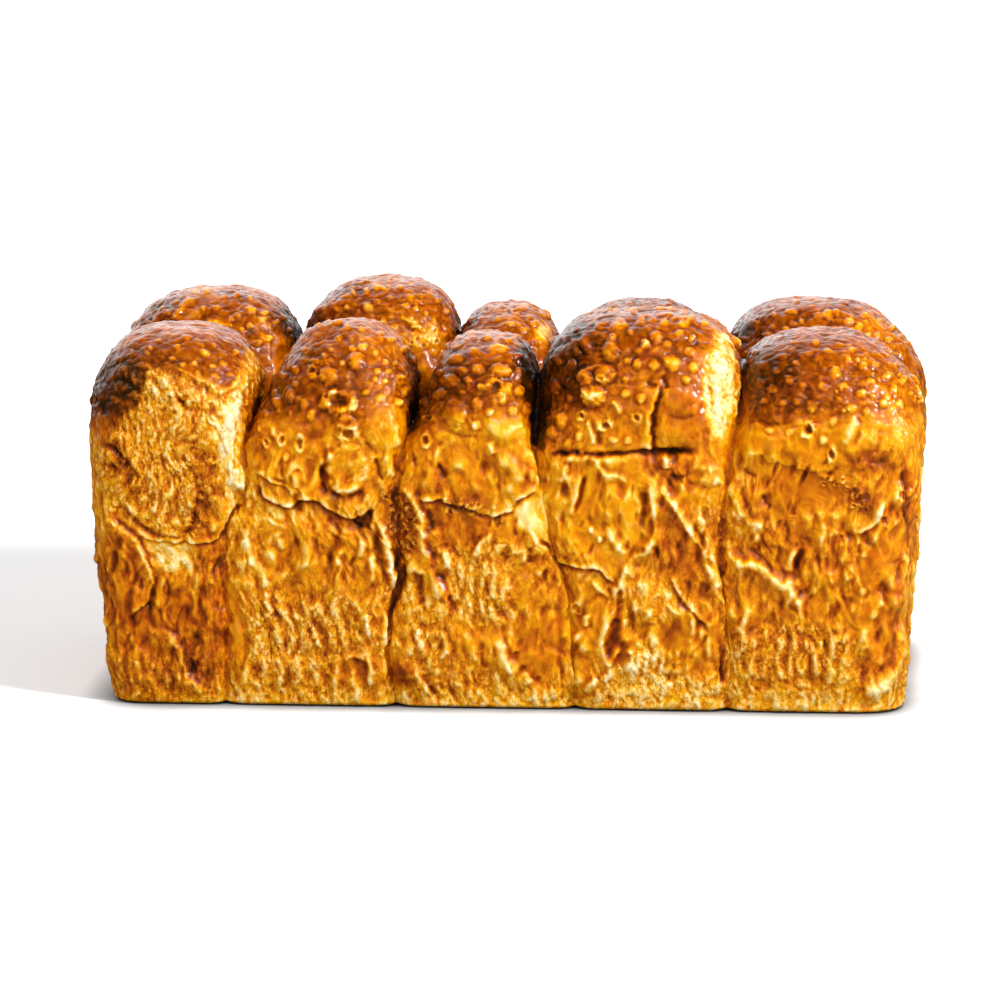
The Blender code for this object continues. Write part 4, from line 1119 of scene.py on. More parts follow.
# ---- the back row's domes ------------------------------------------------------
fold([(172, 322), (180, 312), (187, 304), (197, 302)], 6, 2.2, 0.9, 0.2, 0.2, row=1)
ridge([(152, 328), (157, 319), (165, 313), (170, 310)], 2.6, 0.9, 0.16, row=1)
blisters([(251, 310, 6, 4.5, 0, .34), (265, 313, 4.5, 3, 0, .28), (262, 320, 4, 3, 0, .26), (250, 299, 3, 2.4, 0, .2),
          (217, 309, 4, 2.6, 0, .2), (204, 309, 2.6, 2.6, 0, .2), (249, 326, 4, 4, 0, .24), (242, 330, 3, 3.5, 0, .2),
          (230, 326, 2.6, 2.6, 0, .2), (231, 319, 3, 3, 0, .2), (239, 315, 6, 3.4, 0, .02), (275, 322, 4, 3, 0, .2),
          (284, 318, 4, 3, 0, .14), (290, 330, 4, 3, 0, .14), (196, 293, 5, 3, 0, .2), (206, 291, 5, 3, 0, .2),
          (176, 303, 5, 3, 20, .14), (163, 308, 4, 3, 20, .12), (147, 322, 4, 3, 30, .1), (140, 331, 5, 3, 30, .08),
          (224, 297, 4, 3, 0, .14), (236, 296, 5, 3, 0, .12), (255, 343, 7, 4, 0, .12), (268, 338, 6, 4, 0, .14)], row=1)
torn(360, 291, 9.5, 5, 0, high=0.8, deep=1.2, dark=0.34, pale=0.24, row=1, mouth=0.55)
torn(386, 287.5, 5.5, 3.5, 0, high=0.6, deep=0.9, dark=0.26, pale=0.22, row=1, mouth=0.5)
torn(393, 279, 5, 2.4, 0, high=0.5, deep=0.7, dark=0.24, pale=0.2, row=1, mouth=0.5)
blisters([(376, 287, 6, 4, 0, .3), (400, 287, 4, 3, 0, .24), (368, 308, 5.5, 5.5, 0, .36), (358, 311, 2.6, 2.6, 0, .22),
          (347, 308, 3, 3, 0, .2), (337, 310, 2.6, 2.6, 0, .16), (415, 309, 3, 3, 0, .2), (426, 313, 3, 3, 0, .2),
          (406, 306, 5, 3, 0, .2), (394, 328, 6, 4, 0, .24), (383, 322, 4, 5, 0, .24), (372, 320, 4, 3, 0, .16),
          (345, 297, 5, 3, 20, .12), (332, 302, 5, 3, 30, .1), (322, 312, 5, 3, 30, .08), (390, 298, 4, 3, 0, .16),
          (420, 296, 5, 3, 0, .14), (438, 302, 5, 3, -10, .14), (446, 312, 4, 3, 0, .14), (356, 322, 5, 3, 0, .1)], row=1)
for k in range(4):
    fold([(400 + k * 3, 318 + k * 3), (407 + k * 4, 321 + k * 3), (414 + k * 4, 319 + k * 4)], 3, 1.4, 0.6, 0.16, 0.16, row=1)
for x, y in ((413, 331), (421, 330), (417, 339), (427, 338), (411, 343), (423, 346), (434, 330), (436, 342)):
    torn(x, y, 4.5, 4, high=0.6, deep=0.5, dark=0.12, pale=0.14, mouth=0.4, row=1)
for k in range(6):
    ridge([(310 + k * 7, 326 - k * 3), (316 + k * 7, 314 - k * 3), (325 + k * 6.5, 305 - k * 3)], 1.9, 0.5, 0.08, row=1, wobble=1.5)
torn(487, 310, 4, 3, 0, deep=0.8, dark=0.26, row=1)
torn(509, 311.5, 5, 2.4, 0, deep=0.8, dark=0.26, row=1)
blisters([(492, 307, 3, 2.4, 0, .2), (517, 313, 3.5, 2.6, 0, .22), (523, 308, 7, 4, 0, .14), (545, 315, 8, 5, -10, .18),
          (534, 324, 5, 3.5, 0, .18), (498, 318, 5, 3, 0, .16), (480, 318, 5, 3, 10, .1), (470, 320, 5, 3, 20, .08),
          (510, 325, 5, 3, 0, .14), (524, 330, 6, 3, 0, .12)], row=1)
blisters([(648, 299, 4, 2.4, 0, .16), (695, 311, 3.4, 3.4, 0, .2), (630, 303, 5, 3, 0, .12), (670, 303, 5, 3, 0, .16),
          (612, 305, 5, 3, 0, .1), (595, 310, 5, 3, 10, .1), (708, 322, 4, 3, 0, .18), (580, 318, 5, 3, 20, .08)], row=1)
blisters([(791, 313, 7, 3.4, 0, .26), (828, 316, 6, 5, 0, .26), (819, 317, 6, 3.8, 0, .24), (836, 314, 4.4, 4, 0, .24),
          (845, 302, 9, 4, 0, .02), (813, 298, 5, 2, 0, .2), (796, 302, 4, 2.4, 0, .2), (793, 324, 5, 3, 0, .24),
          (802, 322, 3.4, 2.6, 0, .22), (786, 329, 4.4, 3, 0, .2), (800, 329, 4.4, 3, 0, .22), (817, 328, 4.6, 3.2, 0, .22),
          (833, 329, 6, 3, 0, .22), (772, 327, 4.6, 3, 0, .18), (768, 335, 6, 3, 0, .16), (745, 339, 6, 3, 0, .12),
          (737, 334, 4, 3, 0, .1), (774, 316, 4.4, 2.4, 0, .14), (758, 323, 4.4, 2, 0, .12), (813, 308, 4.4, 2.6, 0, .2),
          (848, 322, 6, 3.4, 0, .22), (851, 332, 5, 3.4, 0, .22), (864, 317, 5, 3, 0, .2), (880, 320, 4.4, 2.6, 0, .2),
          (877, 335, 3.4, 3.6, 0, .2), (867, 336, 4.4, 3.4, 0, .2), (859, 328, 5, 4, 0, .2), (869, 307, 3.4, 2, 0, .2),
          (892, 328, 4, 3, 0, .2), (901, 336, 4, 3, 0, .2), (889, 340, 5, 3, 0, .18)], row=1)

# ---- the sides that the picture doesn't show: the same kinds of things, placed
#      by a seeded draw -----------------------------------------------------------
def open_side(row, facing, across, seen=-0.03, turned=0.5):
    """Takes an unseen side's places from a picture of it, to scale with the
    front's, so that features can be put on it too."""
    ids = np.nonzero((SEEN < seen) & (facing > turned))[0]
    UV[ids] = np.stack([500 + 2.71 * across[ids], 709 - 2.71 * P[ids, 2]], 1)
    EDGE_ON[ids] = ramp(turned, turned + 0.2, facing[ids])
    ids = ids[np.argsort(UV[ids, 0], kind="stable")]
    LIT[row] = (ids, UV[ids, 0], UV[ids, 1])


def dress(row, u0, u1, seed):
    """One ball's unseen side."""
    rng = np.random.default_rng(seed)
    r, w = rng.uniform, u1 - u0

    def at(a, v):
        return (u0 + a * w, v)

    area(*at(r(.3, .7), r(560, 600)), w * .42, r(50, 70), tone=r(.52, .62), lace=r(.1, .4), hard=4, wobble=5, row=row)
    area(*at(r(.3, .7), r(640, 665)), w * .45, r(32, 46), tone=r(.56, .64), lace=1.0, hard=4, wobble=5, row=row)
    area(*at(r(.2, .8), r(478, 500)), w * .32, r(16, 26), tone=r(.62, .74), lace=.1, much=.8, wobble=4, row=row)
    for _ in range(3):
        area(*at(r(.05, .95), r(480, 660)), w * r(.08, .24), r(20, 50), tone=r(.40, .50), much=.8, hard=2.4, wobble=5, row=row)
    v, sag = r(476, 566), r(6, 36)
    line = [at(.04, v + r(-18, 6)), at(.2, v + sag * .6 + r(-5, 5)), at(.4, v + sag + r(-5, 5)),
            at(.6, v + sag + r(-6, 6)), at(.8, v + sag * .5 + r(-5, 5)), at(.97, v + r(-20, 4))]
    area(*at(r(.3, .7), v + sag + 14), w * r(.14, .3), r(9, 14), tone=r(.74, .84), much=.9, row=row)
    much = r(.25, 1.05) if row == 2 else r(.75, 1.15)
    flap(line, rise=much, reach=22, gap=2.6, deep=much, dark=.24 * much, pale=.12, wobble=3.2, row=row)
    a, lean = r(.2, .8), r(-.28, .28)
    fold([at(a, v + sag + 4), at(a + lean * .3, v + sag + 36), at(a + lean * .7, v + sag + 70), at(a + lean, v + sag + 110)],
         up=9, down=2.6, high=r(.8, 1.2), pale=.15, dark=.22, wobble=2.2, row=row)
    if r(0, 1) < 0.6:
        flap([at(.02, r(600, 640)), at(r(.15, .25), r(570, 590)), at(r(.35, .45), r(560, 590)), at(r(.5, .6), r(610, 650))],
             rise=1.0, reach=20, gap=2.4, deep=.8, dark=.22, pale=.12, wobble=2.2, row=row)
    for _ in range(8):
        a, top, long = r(.04, .96), r(490, 610), r(30, 100)
        ridge([at(a, top), at(a + r(-.04, .04), top + long * .5), at(a + r(-.07, .07), top + long)], r(2.0, 4.2),
              r(.4, .8), .09, wobble=2.4, row=row)
    for _ in range(4):
        a, top, long = r(.04, .96), r(490, 620), r(25, 60)
        groove([at(a, top), at(a + r(-.08, .08), top + long * .5), at(a + r(-.14, .14), top + long)], 2.2, .8, .18,
               wobble=2.2, row=row)
    for _ in range(7):
        size = r(3, 7.5)
        blister(*at(r(.06, .94), r(425, 505)), size, size * r(.7, 1.1), r(-40, 40), pale=r(.1, .26), row=row)
    for _ in range(9):
        size = r(3, 9)
        blister(*at(r(.1, .9), r(345, 425)), size, size * r(.7, 1.0), r(-40, 40), pale=r(.08, .24), row=row)
    for _ in range(2):
        torn(*at(r(.12, .88), r(430, 495)), r(4, 8), r(5, 10), 0, high=.9, deep=.8, dark=.22, pale=.2, mouth=.4, row=row)


open_side(2, N[:, 1], -P[:, 0])
open_side(3, N[:, 0], P[:, 1], 0.15, 0.7)
open_side(4, -N[:, 0], -P[:, 1], 0.15, 0.7)
for k, (row, u0, u1) in enumerate(((2, 96, 286), (2, 286, 456), (2, 456, 581), (2, 581, 738), (2, 738, 906),
                                   (3, 338, 500), (3, 500, 665), (4, 336, 500), (4, 500, 662))):
    dress(row, u0, u1, 400 + k)
print("features", round(time.time() - T0, 1))

# =============================================================================
# Relief that covers the whole loaf
# =============================================================================
def cells(p, seed):
    """Distance to the nearest of a loose grid of dots, the second nearest, and
    a number that belongs to the nearest."""
    rng = np.random.default_rng(2000 + seed)
    perm = rng.permutation(256)
    perm = np.concatenate([perm, perm, perm])
    dots = rng.random((256, 4)).astype(np.float32)
    p = np.asarray(p, np.float32)
    cell = np.floor(p).astype(np.int32)
    f = p - cell
    first = np.full(len(p), 9.0, np.float32)
    second = first.copy()
    tag = np.zeros(len(p), np.float32)
    for dx in (-1, 0, 1):
        hx = perm[(cell[:, 0] + dx) & 255]
        for dy in (-1, 0, 1):
            hy = perm[(hx + cell[:, 1] + dy) & 255]
            for dz in (-1, 0, 1):
                h = perm[(hy + cell[:, 2] + dz) & 255]
                dot = dots[h]
                d = np.sqrt((f[:, 0] - dx - dot[:, 0]) ** 2 + (f[:, 1] - dy - dot[:, 1]) ** 2
                            + (f[:, 2] - dz - dot[:, 2]) ** 2)
                m = d < first
                second = np.where(m, first, np.minimum(second, d))
                tag = np.where(m, dot[:, 3], tag)
                first = np.where(m, d, first)
    return first, second, tag


def crest_lines(v, sharp=1.6):
    """Thin raised lines where a noise crosses zero."""
    return np.clip(1.0 - np.abs(v) * 2.1, 0, 1) ** sharp


BACKSIDE = 1.0 - ramp(-0.15, 0.12, SEEN)                   # nothing of it in the picture
SIDE = 1.0 - DOMED
FOOT = ramp(24, 10, P[:, 2] + 4 * MID)
warp = np.stack([noise(P / 9.0, 21), noise(P / 9.0, 22), noise(P / 12.0, 23)], 1)

H += 0.8 * noise(P / 26.0, 24) + 0.35 * noise(P / 11.0, 25)

# the skin that the tin pulled at: dimples that run up the sides, creases in
# patches, and finer strings where it is torn
coarse = noise(P / np.array([3.6, 3.6, 9.0]) + 0.55 * warp, 31)
dimple = noise(P / np.array([2.7, 2.7, 5.6]) + 0.55 * warp, 34)
pucker = noise(P / np.array([1.5, 1.5, 2.7]) + 0.7 * warp, 37)
fine = noise(P / np.array([1.7, 1.7, 3.6]) + 0.8 * warp, 32)
tiny = noise(P / np.array([1.0, 1.0, 1.5]) + 0.9 * warp, 33)
lines, strands, grain = crest_lines(coarse, 1.3), crest_lines(fine, 1.2), crest_lines(tiny, 1.2)
quiet = 1 - BACKSIDE * (0.12 + 0.5 * smooth(0.5 + 1.5 * noise(P / 22.0, 89)))
lace = quiet * np.clip(LACE, 0, 1.1) * (1 - 0.4 * FOOT)
plain = quiet * SIDE * (1 - 0.6 * lace) * (0.25 + 0.75 * WALL) * (1 - 0.8 * CALM)
creased = smooth(0.5 + 1.3 * noise(P / 14.0, 38))
flow = P + 2.4 * np.stack([noise(P / 13.0, 81), noise(P / 13.0, 82), 0.0 * MID], 1)
flow[:, 0] += 0.16 * flow[:, 2] * (1 + noise(P / 30.0, 86))
fibre = noise(flow / np.array([1.25, 1.25, 5.2]), 83)
streak = noise(flow / np.array([2.3, 2.3, 9.5]), 84)
split = crest_lines(noise(flow / np.array([2.7, 2.7, 8.0]), 85), 1.5)
fibres = crest_lines(fibre, 1.1)
silk = noise(flow / np.array([3.6, 3.6, 12.5]) + 0.9 * np.stack([noise(P / 6.0, 72), noise(P / 6.0, 73), noise(P / 8.0, 74)], 1), 71)
puffs = 1 - np.clip(1 - np.abs(coarse) * 2.4, 0, 1) ** 1.5       # rounded between sharp creases
busy = smooth(0.55 + 1.4 * noise(P / 10.0, 87))
plain = plain * (0.45 + 0.75 * busy)
H += plain * (0.56 * silk + 0.18 * streak + 0.12 * dimple + 0.06 * pucker + 0.36 * (1 - 0.6 * creased) * (puffs - 0.6))
leaning = P + 1.2 * warp
leaning[:, 0] -= P[:, 2] * (0.22 + 0.12 * noise(P / 40.0, 88))
open_skin = quiet * SIDE * (0.2 + 0.8 * WALL) * (1 - 0.85 * np.clip(LACE, 0, 1)) * (1 - 0.3 * CALM)
for wide_to, tall, share, deep, seed in ((4.8, 11.0, 0.50, 1.0, 96), (3.2, 7.0, 0.45, 0.62, 97)):
    f1, f2, tag = cells(leaning / np.array([wide_to, wide_to, tall]), seed)
    hollow = (tag < share) * np.clip(1.1 - (f1 / (0.30 + 0.55 * tag)) ** 2, 0, 1) ** 1.2
    H -= open_skin * deep * hollow
    # their tone is darkened too: painted shade in the hollows
    TONE -= open_skin * 0.095 * deep * hollow
H -= plain * 0.30 * creased * split
# the tone follows the relief: painted light on the raised folds and puffs, painted shade in the splits
TONE += plain * (0.07 * silk + 0.03 * streak - 0.05 * creased * split + 0.07 * (1 - 0.6 * creased) * (puffs - 0.6))
flake_1, flake_2, flake = cells(flow / np.array([1.9, 1.9, 3.3]) + 0.45 * warp + 0.25 * np.stack([pucker, fine, pucker], 1), 91)
rim = smooth((flake_2 - flake_1) / 0.17)
flake = (flake - 0.5) * rim
H += lace * (0.66 * flake + 0.16 * (fibres - 0.35) + 0.20 * (strands - 0.35) + 0.18 * (grain - 0.3) + 0.24 * streak + 0.26 * silk - 0.20 * split - 0.20 * (1 - rim))
# the flakes differ in tone at random and the strands are paler crust; their borders and the splits are darkened,
# painted shade in the cracks
TONE += lace * (0.15 * flake + 0.05 * (fibres - 0.35) + 0.05 * (strands - 0.38) + 0.04 * (grain - 0.3) + 0.06 * streak - 0.04 * split - 0.04 * (1 - rim))
pits = np.clip(-coarse - 0.3, 0, 1)
H -= (lace + 0.3 * plain) * 0.6 * pits
# the pits are darkened: painted shade in them
TONE -= lace * 0.12 * pits

# broader folds on every side
wide = noise(P / np.array([7.5, 7.5, 19.0]) + 0.5 * warp, 35)
swell = crest_lines(wide, 1.2)
H += SIDE * (0.48 + 0.20 * BACKSIDE) * (swell - 0.4)
# paler on the raised swells: painted light
TONE += SIDE * (0.02 + 0.02 * BACKSIDE) * (swell - 0.4)
soft = noise(P / np.array([5.2, 5.2, 8.5]) + 0.4 * warp, 36)
H += SIDE * (0.3 + 0.7 * WALL) * 0.85 * soft
H += SIDE * (1 - WALL) * (0.45 * noise(P / 4.4, 39) + 0.2 * noise(P / 2.1, 40))

# grainy foot
crumbs = fbm(P / 2.2, 2, 41, 0.6)
H += FOOT * (0.3 + 0.7 * np.clip(LACE, 0, 1)) * 0.6 * crumbs
TONE += FOOT * np.clip(LACE, 0, 1) * 0.06 * crumbs

# bubbles under the domes' skin, and a few on the sides
cluster = smooth(0.5 + 1.5 * noise(P / 9.0, 64))
for size, share, high, pale, seed in ((5.6, 0.50, 0.85, 0.08, 51), (3.2, 0.62, 0.50, 0.11, 52), (2.1, 0.60, 0.26, 0.11, 53)):
    f1, f2, tag = cells(P / size + 0.22 * warp + 0.13 * RAG[:, None] * (1, -1, 1), seed)
    r = f1 / (0.22 + 0.36 * tag)
    there = (tag < share * (0.25 + 0.9 * cluster)) * (0.65 + 0.35 * np.sin(tag * 91.0)) * (0.45 + 0.65 * cluster)
    bulge = np.clip(1.05 - r ** 2, 0, 1) ** 1.05
    much = DOMED * (0.70 + 0.3 * BACKSIDE) * (1 - 0.9 * np.clip(LACE, 0, 1)) * (1 - 0.85 * CALM) + SIDE * (1 - np.clip(LACE, 0, 1)) * (0.15 + 0.15 * (size < 3))
    H += much * high * there * bulge
    TONE += much * there * pale * bulge
lumps = smooth((noise(P / 2.7 + 0.4 * warp, 59) - 0.05) / 0.45)
H += (DOMED + 0.35 * SIDE * (1 - WALL)) * 0.14 * lumps
TONE += DOMED * 0.05 * lumps
wrinkle = noise(P / np.array([4.4, 4.4, 3.0]) + 0.5 * warp, 55)
folds = noise(P / np.array([6.0, 3.4, 3.4]) + 0.8 * warp, 65)
H += DOMED * (0.24 * crest_lines(wrinkle, 1.4) - 0.20 * crest_lines(folds, 1.6) + 0.08 * noise(P / 2.2, 56) + 0.60 * noise(P / 5.5, 58))
# on the domes the fold creases are darkened and the wrinkle crests paled, painted shade and light; the rest of the
# change is at random
TONE += DOMED * (0.05 * noise(P / 2.4, 66) - 0.06 * crest_lines(folds, 1.6) + 0.04 * crest_lines(wrinkle, 1.4))
TONE += DOMED * (0.07 * noise(P / 6.0, 57) - 0.04 * cluster)

# the seams, darkened in tone: painted shade in the creases between balls and in the gaps between domes
seam = np.exp(-(gap / 1.1) ** 2)
H -= 0.5 * seam * SKIN
TONE -= (0.14 + 0.12 * BROAD) * np.exp(-(gap / 1.7) ** 2)
TONE -= 0.16 * np.exp(-(gap / 5.0) ** 2) * ramp(92, 112, P[:, 2]) * (1 - smooth((TONE - 0.6) / 0.2))



def spread(values, rounds):
    """Each point's value averaged with its neighbours', many times."""
    for _ in range(rounds):
        total = np.bincount(link_a, values[link_b], len(values)) + np.bincount(link_b, values[link_a], len(values))
        values = 0.5 * values + 0.5 * total / links
    return values


ends_of = np.empty(len(mesh.edges) * 2, np.int32)
mesh.edges.foreach_get("vertices", ends_of)
link_a, link_b = ends_of[0::2], ends_of[1::2]
links = np.maximum(np.bincount(link_a, minlength=len(P)) + np.bincount(link_b, minlength=len(P)), 1)
near_by = spread(H, 8)
wide_by = spread(near_by, 48)
# Painted shade and light: the tone darkens where the surface lies below its neighbours and pales where it stands above
# them, at two sizes.
TONE += 0.16 * quiet * np.clip((H - near_by) / 0.42, -0.8, 1.0)
TONE += 0.14 * quiet * np.clip((near_by - wide_by) / 0.9, -0.8, 1)

# flecks and drifts of colour
TONE -= 0.045 * BACKSIDE * SIDE
TONE += 0.035 * noise(P / 13.0, 61) + 0.02 * noise(P / 2.2, 62)
H = np.clip(H, -3.4, 3.4)
H *= smooth((P[:, 2] - 0.2) / 2.6) * (1 - 0.6 * np.exp(-(gap / 0.9) ** 2))
TONE = np.clip(TONE, 0.0, 1.0)
print("relief", round(time.time() - T0, 1))

# =============================================================================
# The mesh, its flat map and its material
# =============================================================================
Q = P + N * H[:, None]
me = mesh_from(Q * 0.001, loops, sizes, "loaf_crust")
bpy.data.meshes.remove(mesh)
me.shade_smooth()
for label, values in (("tone", TONE), ("torn", np.clip(LACE, 0, 1)), ("gloss", GLOSS), ("plum", PLUM), ("moss", MOSS)):
    attr = me.attributes.new(label, "FLOAT", "POINT")
    attr.data.foreach_set("value", np.ascontiguousarray(values, np.float32))


def flat_map(mesh, loops, sizes, margin=3.0):
    """Each ball's front, back, ends and top laid side by side in a square."""
    first = np.concatenate([[0], np.cumsum(sizes)[:-1]])
    a, b, c, d = (loops[first + np.minimum(k, sizes - 1)] for k in range(4))
    fn = np.cross(P[c] - P[a], P[d] - P[b])
    axis = np.abs(fn).argmax(1)
    way = np.sign(fn[np.arange(len(fn)), axis])
    chart = BALL[a] * 6 + axis * 2 + (way > 0)
    per_loop = np.repeat(chart, sizes)
    across = np.array([1, 0, 0])[axis]
    up = np.array([2, 2, 1])[axis]
    u = P[loops, np.repeat(across, sizes)]
    v = P[loops, np.repeat(up, sizes)]
    boxes = []
    for k in np.unique(chart):
        m = per_loop == k
        boxes.append([k, u[m].min(), v[m].min(), np.ptp(u[m]) + margin, np.ptp(v[m]) + margin])
    boxes.sort(key=lambda r: -r[4])
    side = 380.0
    while True:
        x = y = row_high = 0.0
        spots = {}
        for k, u0, v0, w, h in boxes:
            if x + w > side:
                x, y, row_high = 0.0, y + row_high, 0.0
            spots[k] = (x - u0 + margin / 2, y - v0 + margin / 2)
            x, row_high = x + w, max(row_high, h)
        if y + row_high <= side:
            break
        side *= 1.01
    shift = np.zeros((NAMES.__len__() * 6, 2))
    for k, s in spots.items():
        shift[k] = s
    uv = (np.stack([u, v], 1) + shift[per_loop]) / side
    layer = mesh.uv_layers.new(name="OFBake")
    layer.data.foreach_set("uv", uv.astype(np.float32).ravel())
    print("map", len(boxes), "charts", round(side), "mm")


flat_map(me, loops, sizes)
loaf = bpy.data.objects.new("brioche_crust", me)
bpy.context.scene.collection.objects.link(loaf)


def linear(rgb):
    out = []
    for c in rgb:
        c = c / 255.0
        out.append(c / 12.92 if c <= 0.04045 else ((c + 0.055) / 1.055) ** 2.4)
    return (*out, 1.0)


CRUST = ((0.00, (24, 10, 0)), (0.10, (52, 19, 0)), (0.20, (84, 31, 0)), (0.30, (117, 45, 0)), (0.40, (148, 64, 0)),
         (0.50, (178, 88, 2)), (0.60, (203, 116, 12)), (0.70, (222, 150, 38)), (0.80, (234, 186, 94)),
         (0.90, (241, 211, 148)), (1.00, (248, 232, 194)))


def crust_material():
    mat = bpy.data.materials.new("baked_crust")
    mat.use_nodes = True
    nt = mat.node_tree
    sh = nt.nodes["Principled BSDF"]

    def node(kind, **values):
        made = nt.nodes.new(kind)
        for key, value in values.items():
            setattr(made, key, value)
        return made

    def math_node(op, a, b=None, clamp=False):
        made = node("ShaderNodeMath", operation=op, use_clamp=clamp)
        for i, value in enumerate((a, b)):
            if value is None:
                continue
            if hasattr(value, "links"):
                nt.links.new(value, made.inputs[i])
            else:
                made.inputs[i].default_value = value
        return made.outputs[0]

    def attribute(label):
        return node("ShaderNodeAttribute", attribute_name=label).outputs["Fac"]

    place = node("ShaderNodeTexCoord").outputs["Object"]

    def speckle(scale, detail, stretch=(1, 1, 1), curl=0.0):
        m = node("ShaderNodeMapping")
        m.inputs["Scale"].default_value = stretch
        nt.links.new(place, m.inputs["Vector"])
        t = node("ShaderNodeTexNoise")
        t.inputs["Scale"].default_value = scale
        t.inputs["Detail"].default_value = detail
        t.inputs["Roughness"].default_value = 0.6
        t.inputs["Distortion"].default_value = curl
        nt.links.new(m.outputs["Vector"], t.inputs["Vector"])
        return math_node("SUBTRACT", t.outputs["Fac"], 0.5)

    grain = speckle(900, 3, (1, 1, 0.55))
    drift = speckle(170, 3)
    sandy = math_node("ADD", 0.05, math_node("MULTIPLY", attribute("torn"), 0.10))
    tone = math_node("ADD", attribute("tone"), math_node("MULTIPLY", grain, sandy))
    tone = math_node("ADD", tone, math_node("MULTIPLY", drift, 0.09))
    thread = speckle(1, 3, (760, 760, 330), 0.9)
    crest = math_node("SUBTRACT", 1.0, math_node("MULTIPLY", math_node("ABSOLUTE", thread), 7.0), clamp=True)
    sides = math_node("SUBTRACT", 1.0, attribute("gloss"), clamp=True)
    torn_too = math_node("ADD", math_node("MULTIPLY", sides, 0.06), math_node("MULTIPLY", attribute("torn"), 0.6))
    crest = math_node("MULTIPLY", math_node("SUBTRACT", crest, 0.35), torn_too)
    tone = math_node("ADD", tone, math_node("MULTIPLY", crest, 0.11))
    fleck = speckle(1300, 2, (1, 1, 0.6))
    light_fleck = math_node("MULTIPLY", math_node("SUBTRACT", fleck, 0.115), 16.0, clamp=True)
    dark_fleck = math_node("MULTIPLY", math_node("SUBTRACT", math_node("MULTIPLY", fleck, -1.0), 0.125), 16.0, clamp=True)
    flecks = math_node("SUBTRACT", math_node("MULTIPLY", light_fleck, 0.21), math_node("MULTIPLY", dark_fleck, 0.18))
    share = math_node("ADD", 0.22, math_node("MULTIPLY", attribute("torn"), 0.68))
    tone = math_node("ADD", tone, math_node("MULTIPLY", flecks, share), clamp=True)
    ramp_node = node("ShaderNodeValToRGB")
    ramp_node.color_ramp.interpolation = "LINEAR"
    stops = ramp_node.color_ramp.elements
    while len(stops) < len(CRUST):
        stops.new(0.5)
    for stop, (pos, rgb) in zip(stops, CRUST):
        stop.position = pos
        stop.color = linear(rgb)
    nt.links.new(tone, ramp_node.inputs["Fac"])
    colour = ramp_node.outputs["Color"]
    for label, rgb, share in (("plum", (112, 54, 28), 0.35), ("moss", (74, 50, 10), 0.28)):
        m = node("ShaderNodeMix", data_type="RGBA")
        nt.links.new(math_node("MULTIPLY", attribute(label), share), m.inputs["Factor"])
        nt.links.new(colour, m.inputs["A"])
        m.inputs["B"].default_value = linear(rgb)
        colour = m.outputs["Result"]
    m = node("ShaderNodeMix", data_type="RGBA")
    creamy = math_node("MULTIPLY", math_node("SUBTRACT", tone, 0.42, clamp=True), 0.45)
    nt.links.new(math_node("MULTIPLY", attribute("torn"), creamy), m.inputs["Factor"])
    nt.links.new(colour, m.inputs["A"])
    m.inputs["B"].default_value = linear((226, 180, 100))
    colour = m.outputs["Result"]
    # here redder, there yellower; here deep, there pale
    m = node("ShaderNodeHueSaturation")
    yellower = math_node("ADD", 0.5, math_node("MULTIPLY", attribute("gloss"), 0.005))
    nt.links.new(math_node("ADD", yellower, math_node("MULTIPLY", speckle(240, 3, (1, 1, 0.7)), 0.035)), m.inputs["Hue"])
    nt.links.new(math_node("SUBTRACT", 1.04, math_node("MULTIPLY", speckle(300, 3, (1, 1, 0.7)), 0.25)), m.inputs["Saturation"])
    nt.links.new(colour, m.inputs["Color"])
    colour = m.outputs["Color"]
    nt.links.new(colour, sh.inputs["Base Color"])

    rough = math_node("SUBTRACT", 0.36, math_node("MULTIPLY", attribute("gloss"), 0.13))
    rough = math_node("ADD", rough, math_node("MULTIPLY", attribute("torn"), 0.12))
    rough = math_node("ADD", rough, math_node("MULTIPLY", drift, 0.2))
    nt.links.new(rough, sh.inputs["Roughness"])
    sh.inputs["Coat Weight"].default_value = 0.48
    sh.inputs["Coat Roughness"].default_value = 0.10
    sh.inputs["Coat IOR"].default_value = 1.45
    sh.inputs["Specular IOR Level"].default_value = 0.10

    bump = node("ShaderNodeBump")
    bump.inputs["Strength"].default_value = 0.8
    bump.inputs["Distance"].default_value = 0.0004
    relief = math_node("ADD", math_node("MULTIPLY", grain, 0.9), math_node("MULTIPLY", speckle(2200, 2), 0.35))
    relief = math_node("MULTIPLY", relief, math_node("ADD", 0.3, math_node("MULTIPLY", attribute("torn"), 0.7)))
    relief = math_node("ADD", relief, math_node("MULTIPLY", crest, 0.8))
    nt.links.new(relief, bump.inputs["Height"])
    nt.links.new(bump.outputs["Normal"], sh.inputs["Normal"])
    return mat


me.materials.append(crust_material())
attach(loaf, "root")
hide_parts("loaf")
print("mesh", round(time.time() - T0, 1))

# =============================================================================
# Stage, light and camera
# =============================================================================
scene = bpy.context.scene
scene.view_settings.view_transform = "Standard"

cam_data = bpy.data.cameras.new("camera")
cam = bpy.data.objects.new("camera", cam_data)
scene.collection.objects.link(cam)
cam_data.sensor_width = 36.0
cam_data.sensor_fit = "HORIZONTAL"
cam_data.lens = 36.0 * CAM["focal"] / 1000.0
cam_data.clip_start, cam_data.clip_end = 0.05, 30.0
cam.matrix_world = Matrix((
    (CAM_AXES[0][0], CAM_AXES[1][0], -CAM_AXES[2][0], CAM_POS[0] * 0.001),
    (CAM_AXES[0][1], CAM_AXES[1][1], -CAM_AXES[2][1], CAM_POS[1] * 0.001),
    (CAM_AXES[0][2], CAM_AXES[1][2], -CAM_AXES[2][2], CAM_POS[2] * 0.001),
    (0, 0, 0, 1)))
scene.camera = cam

bpy.ops.mesh.primitive_plane_add(size=14.0, location=(0, 0, -0.0002))
floor = bpy.context.object
floor.name = "floor"


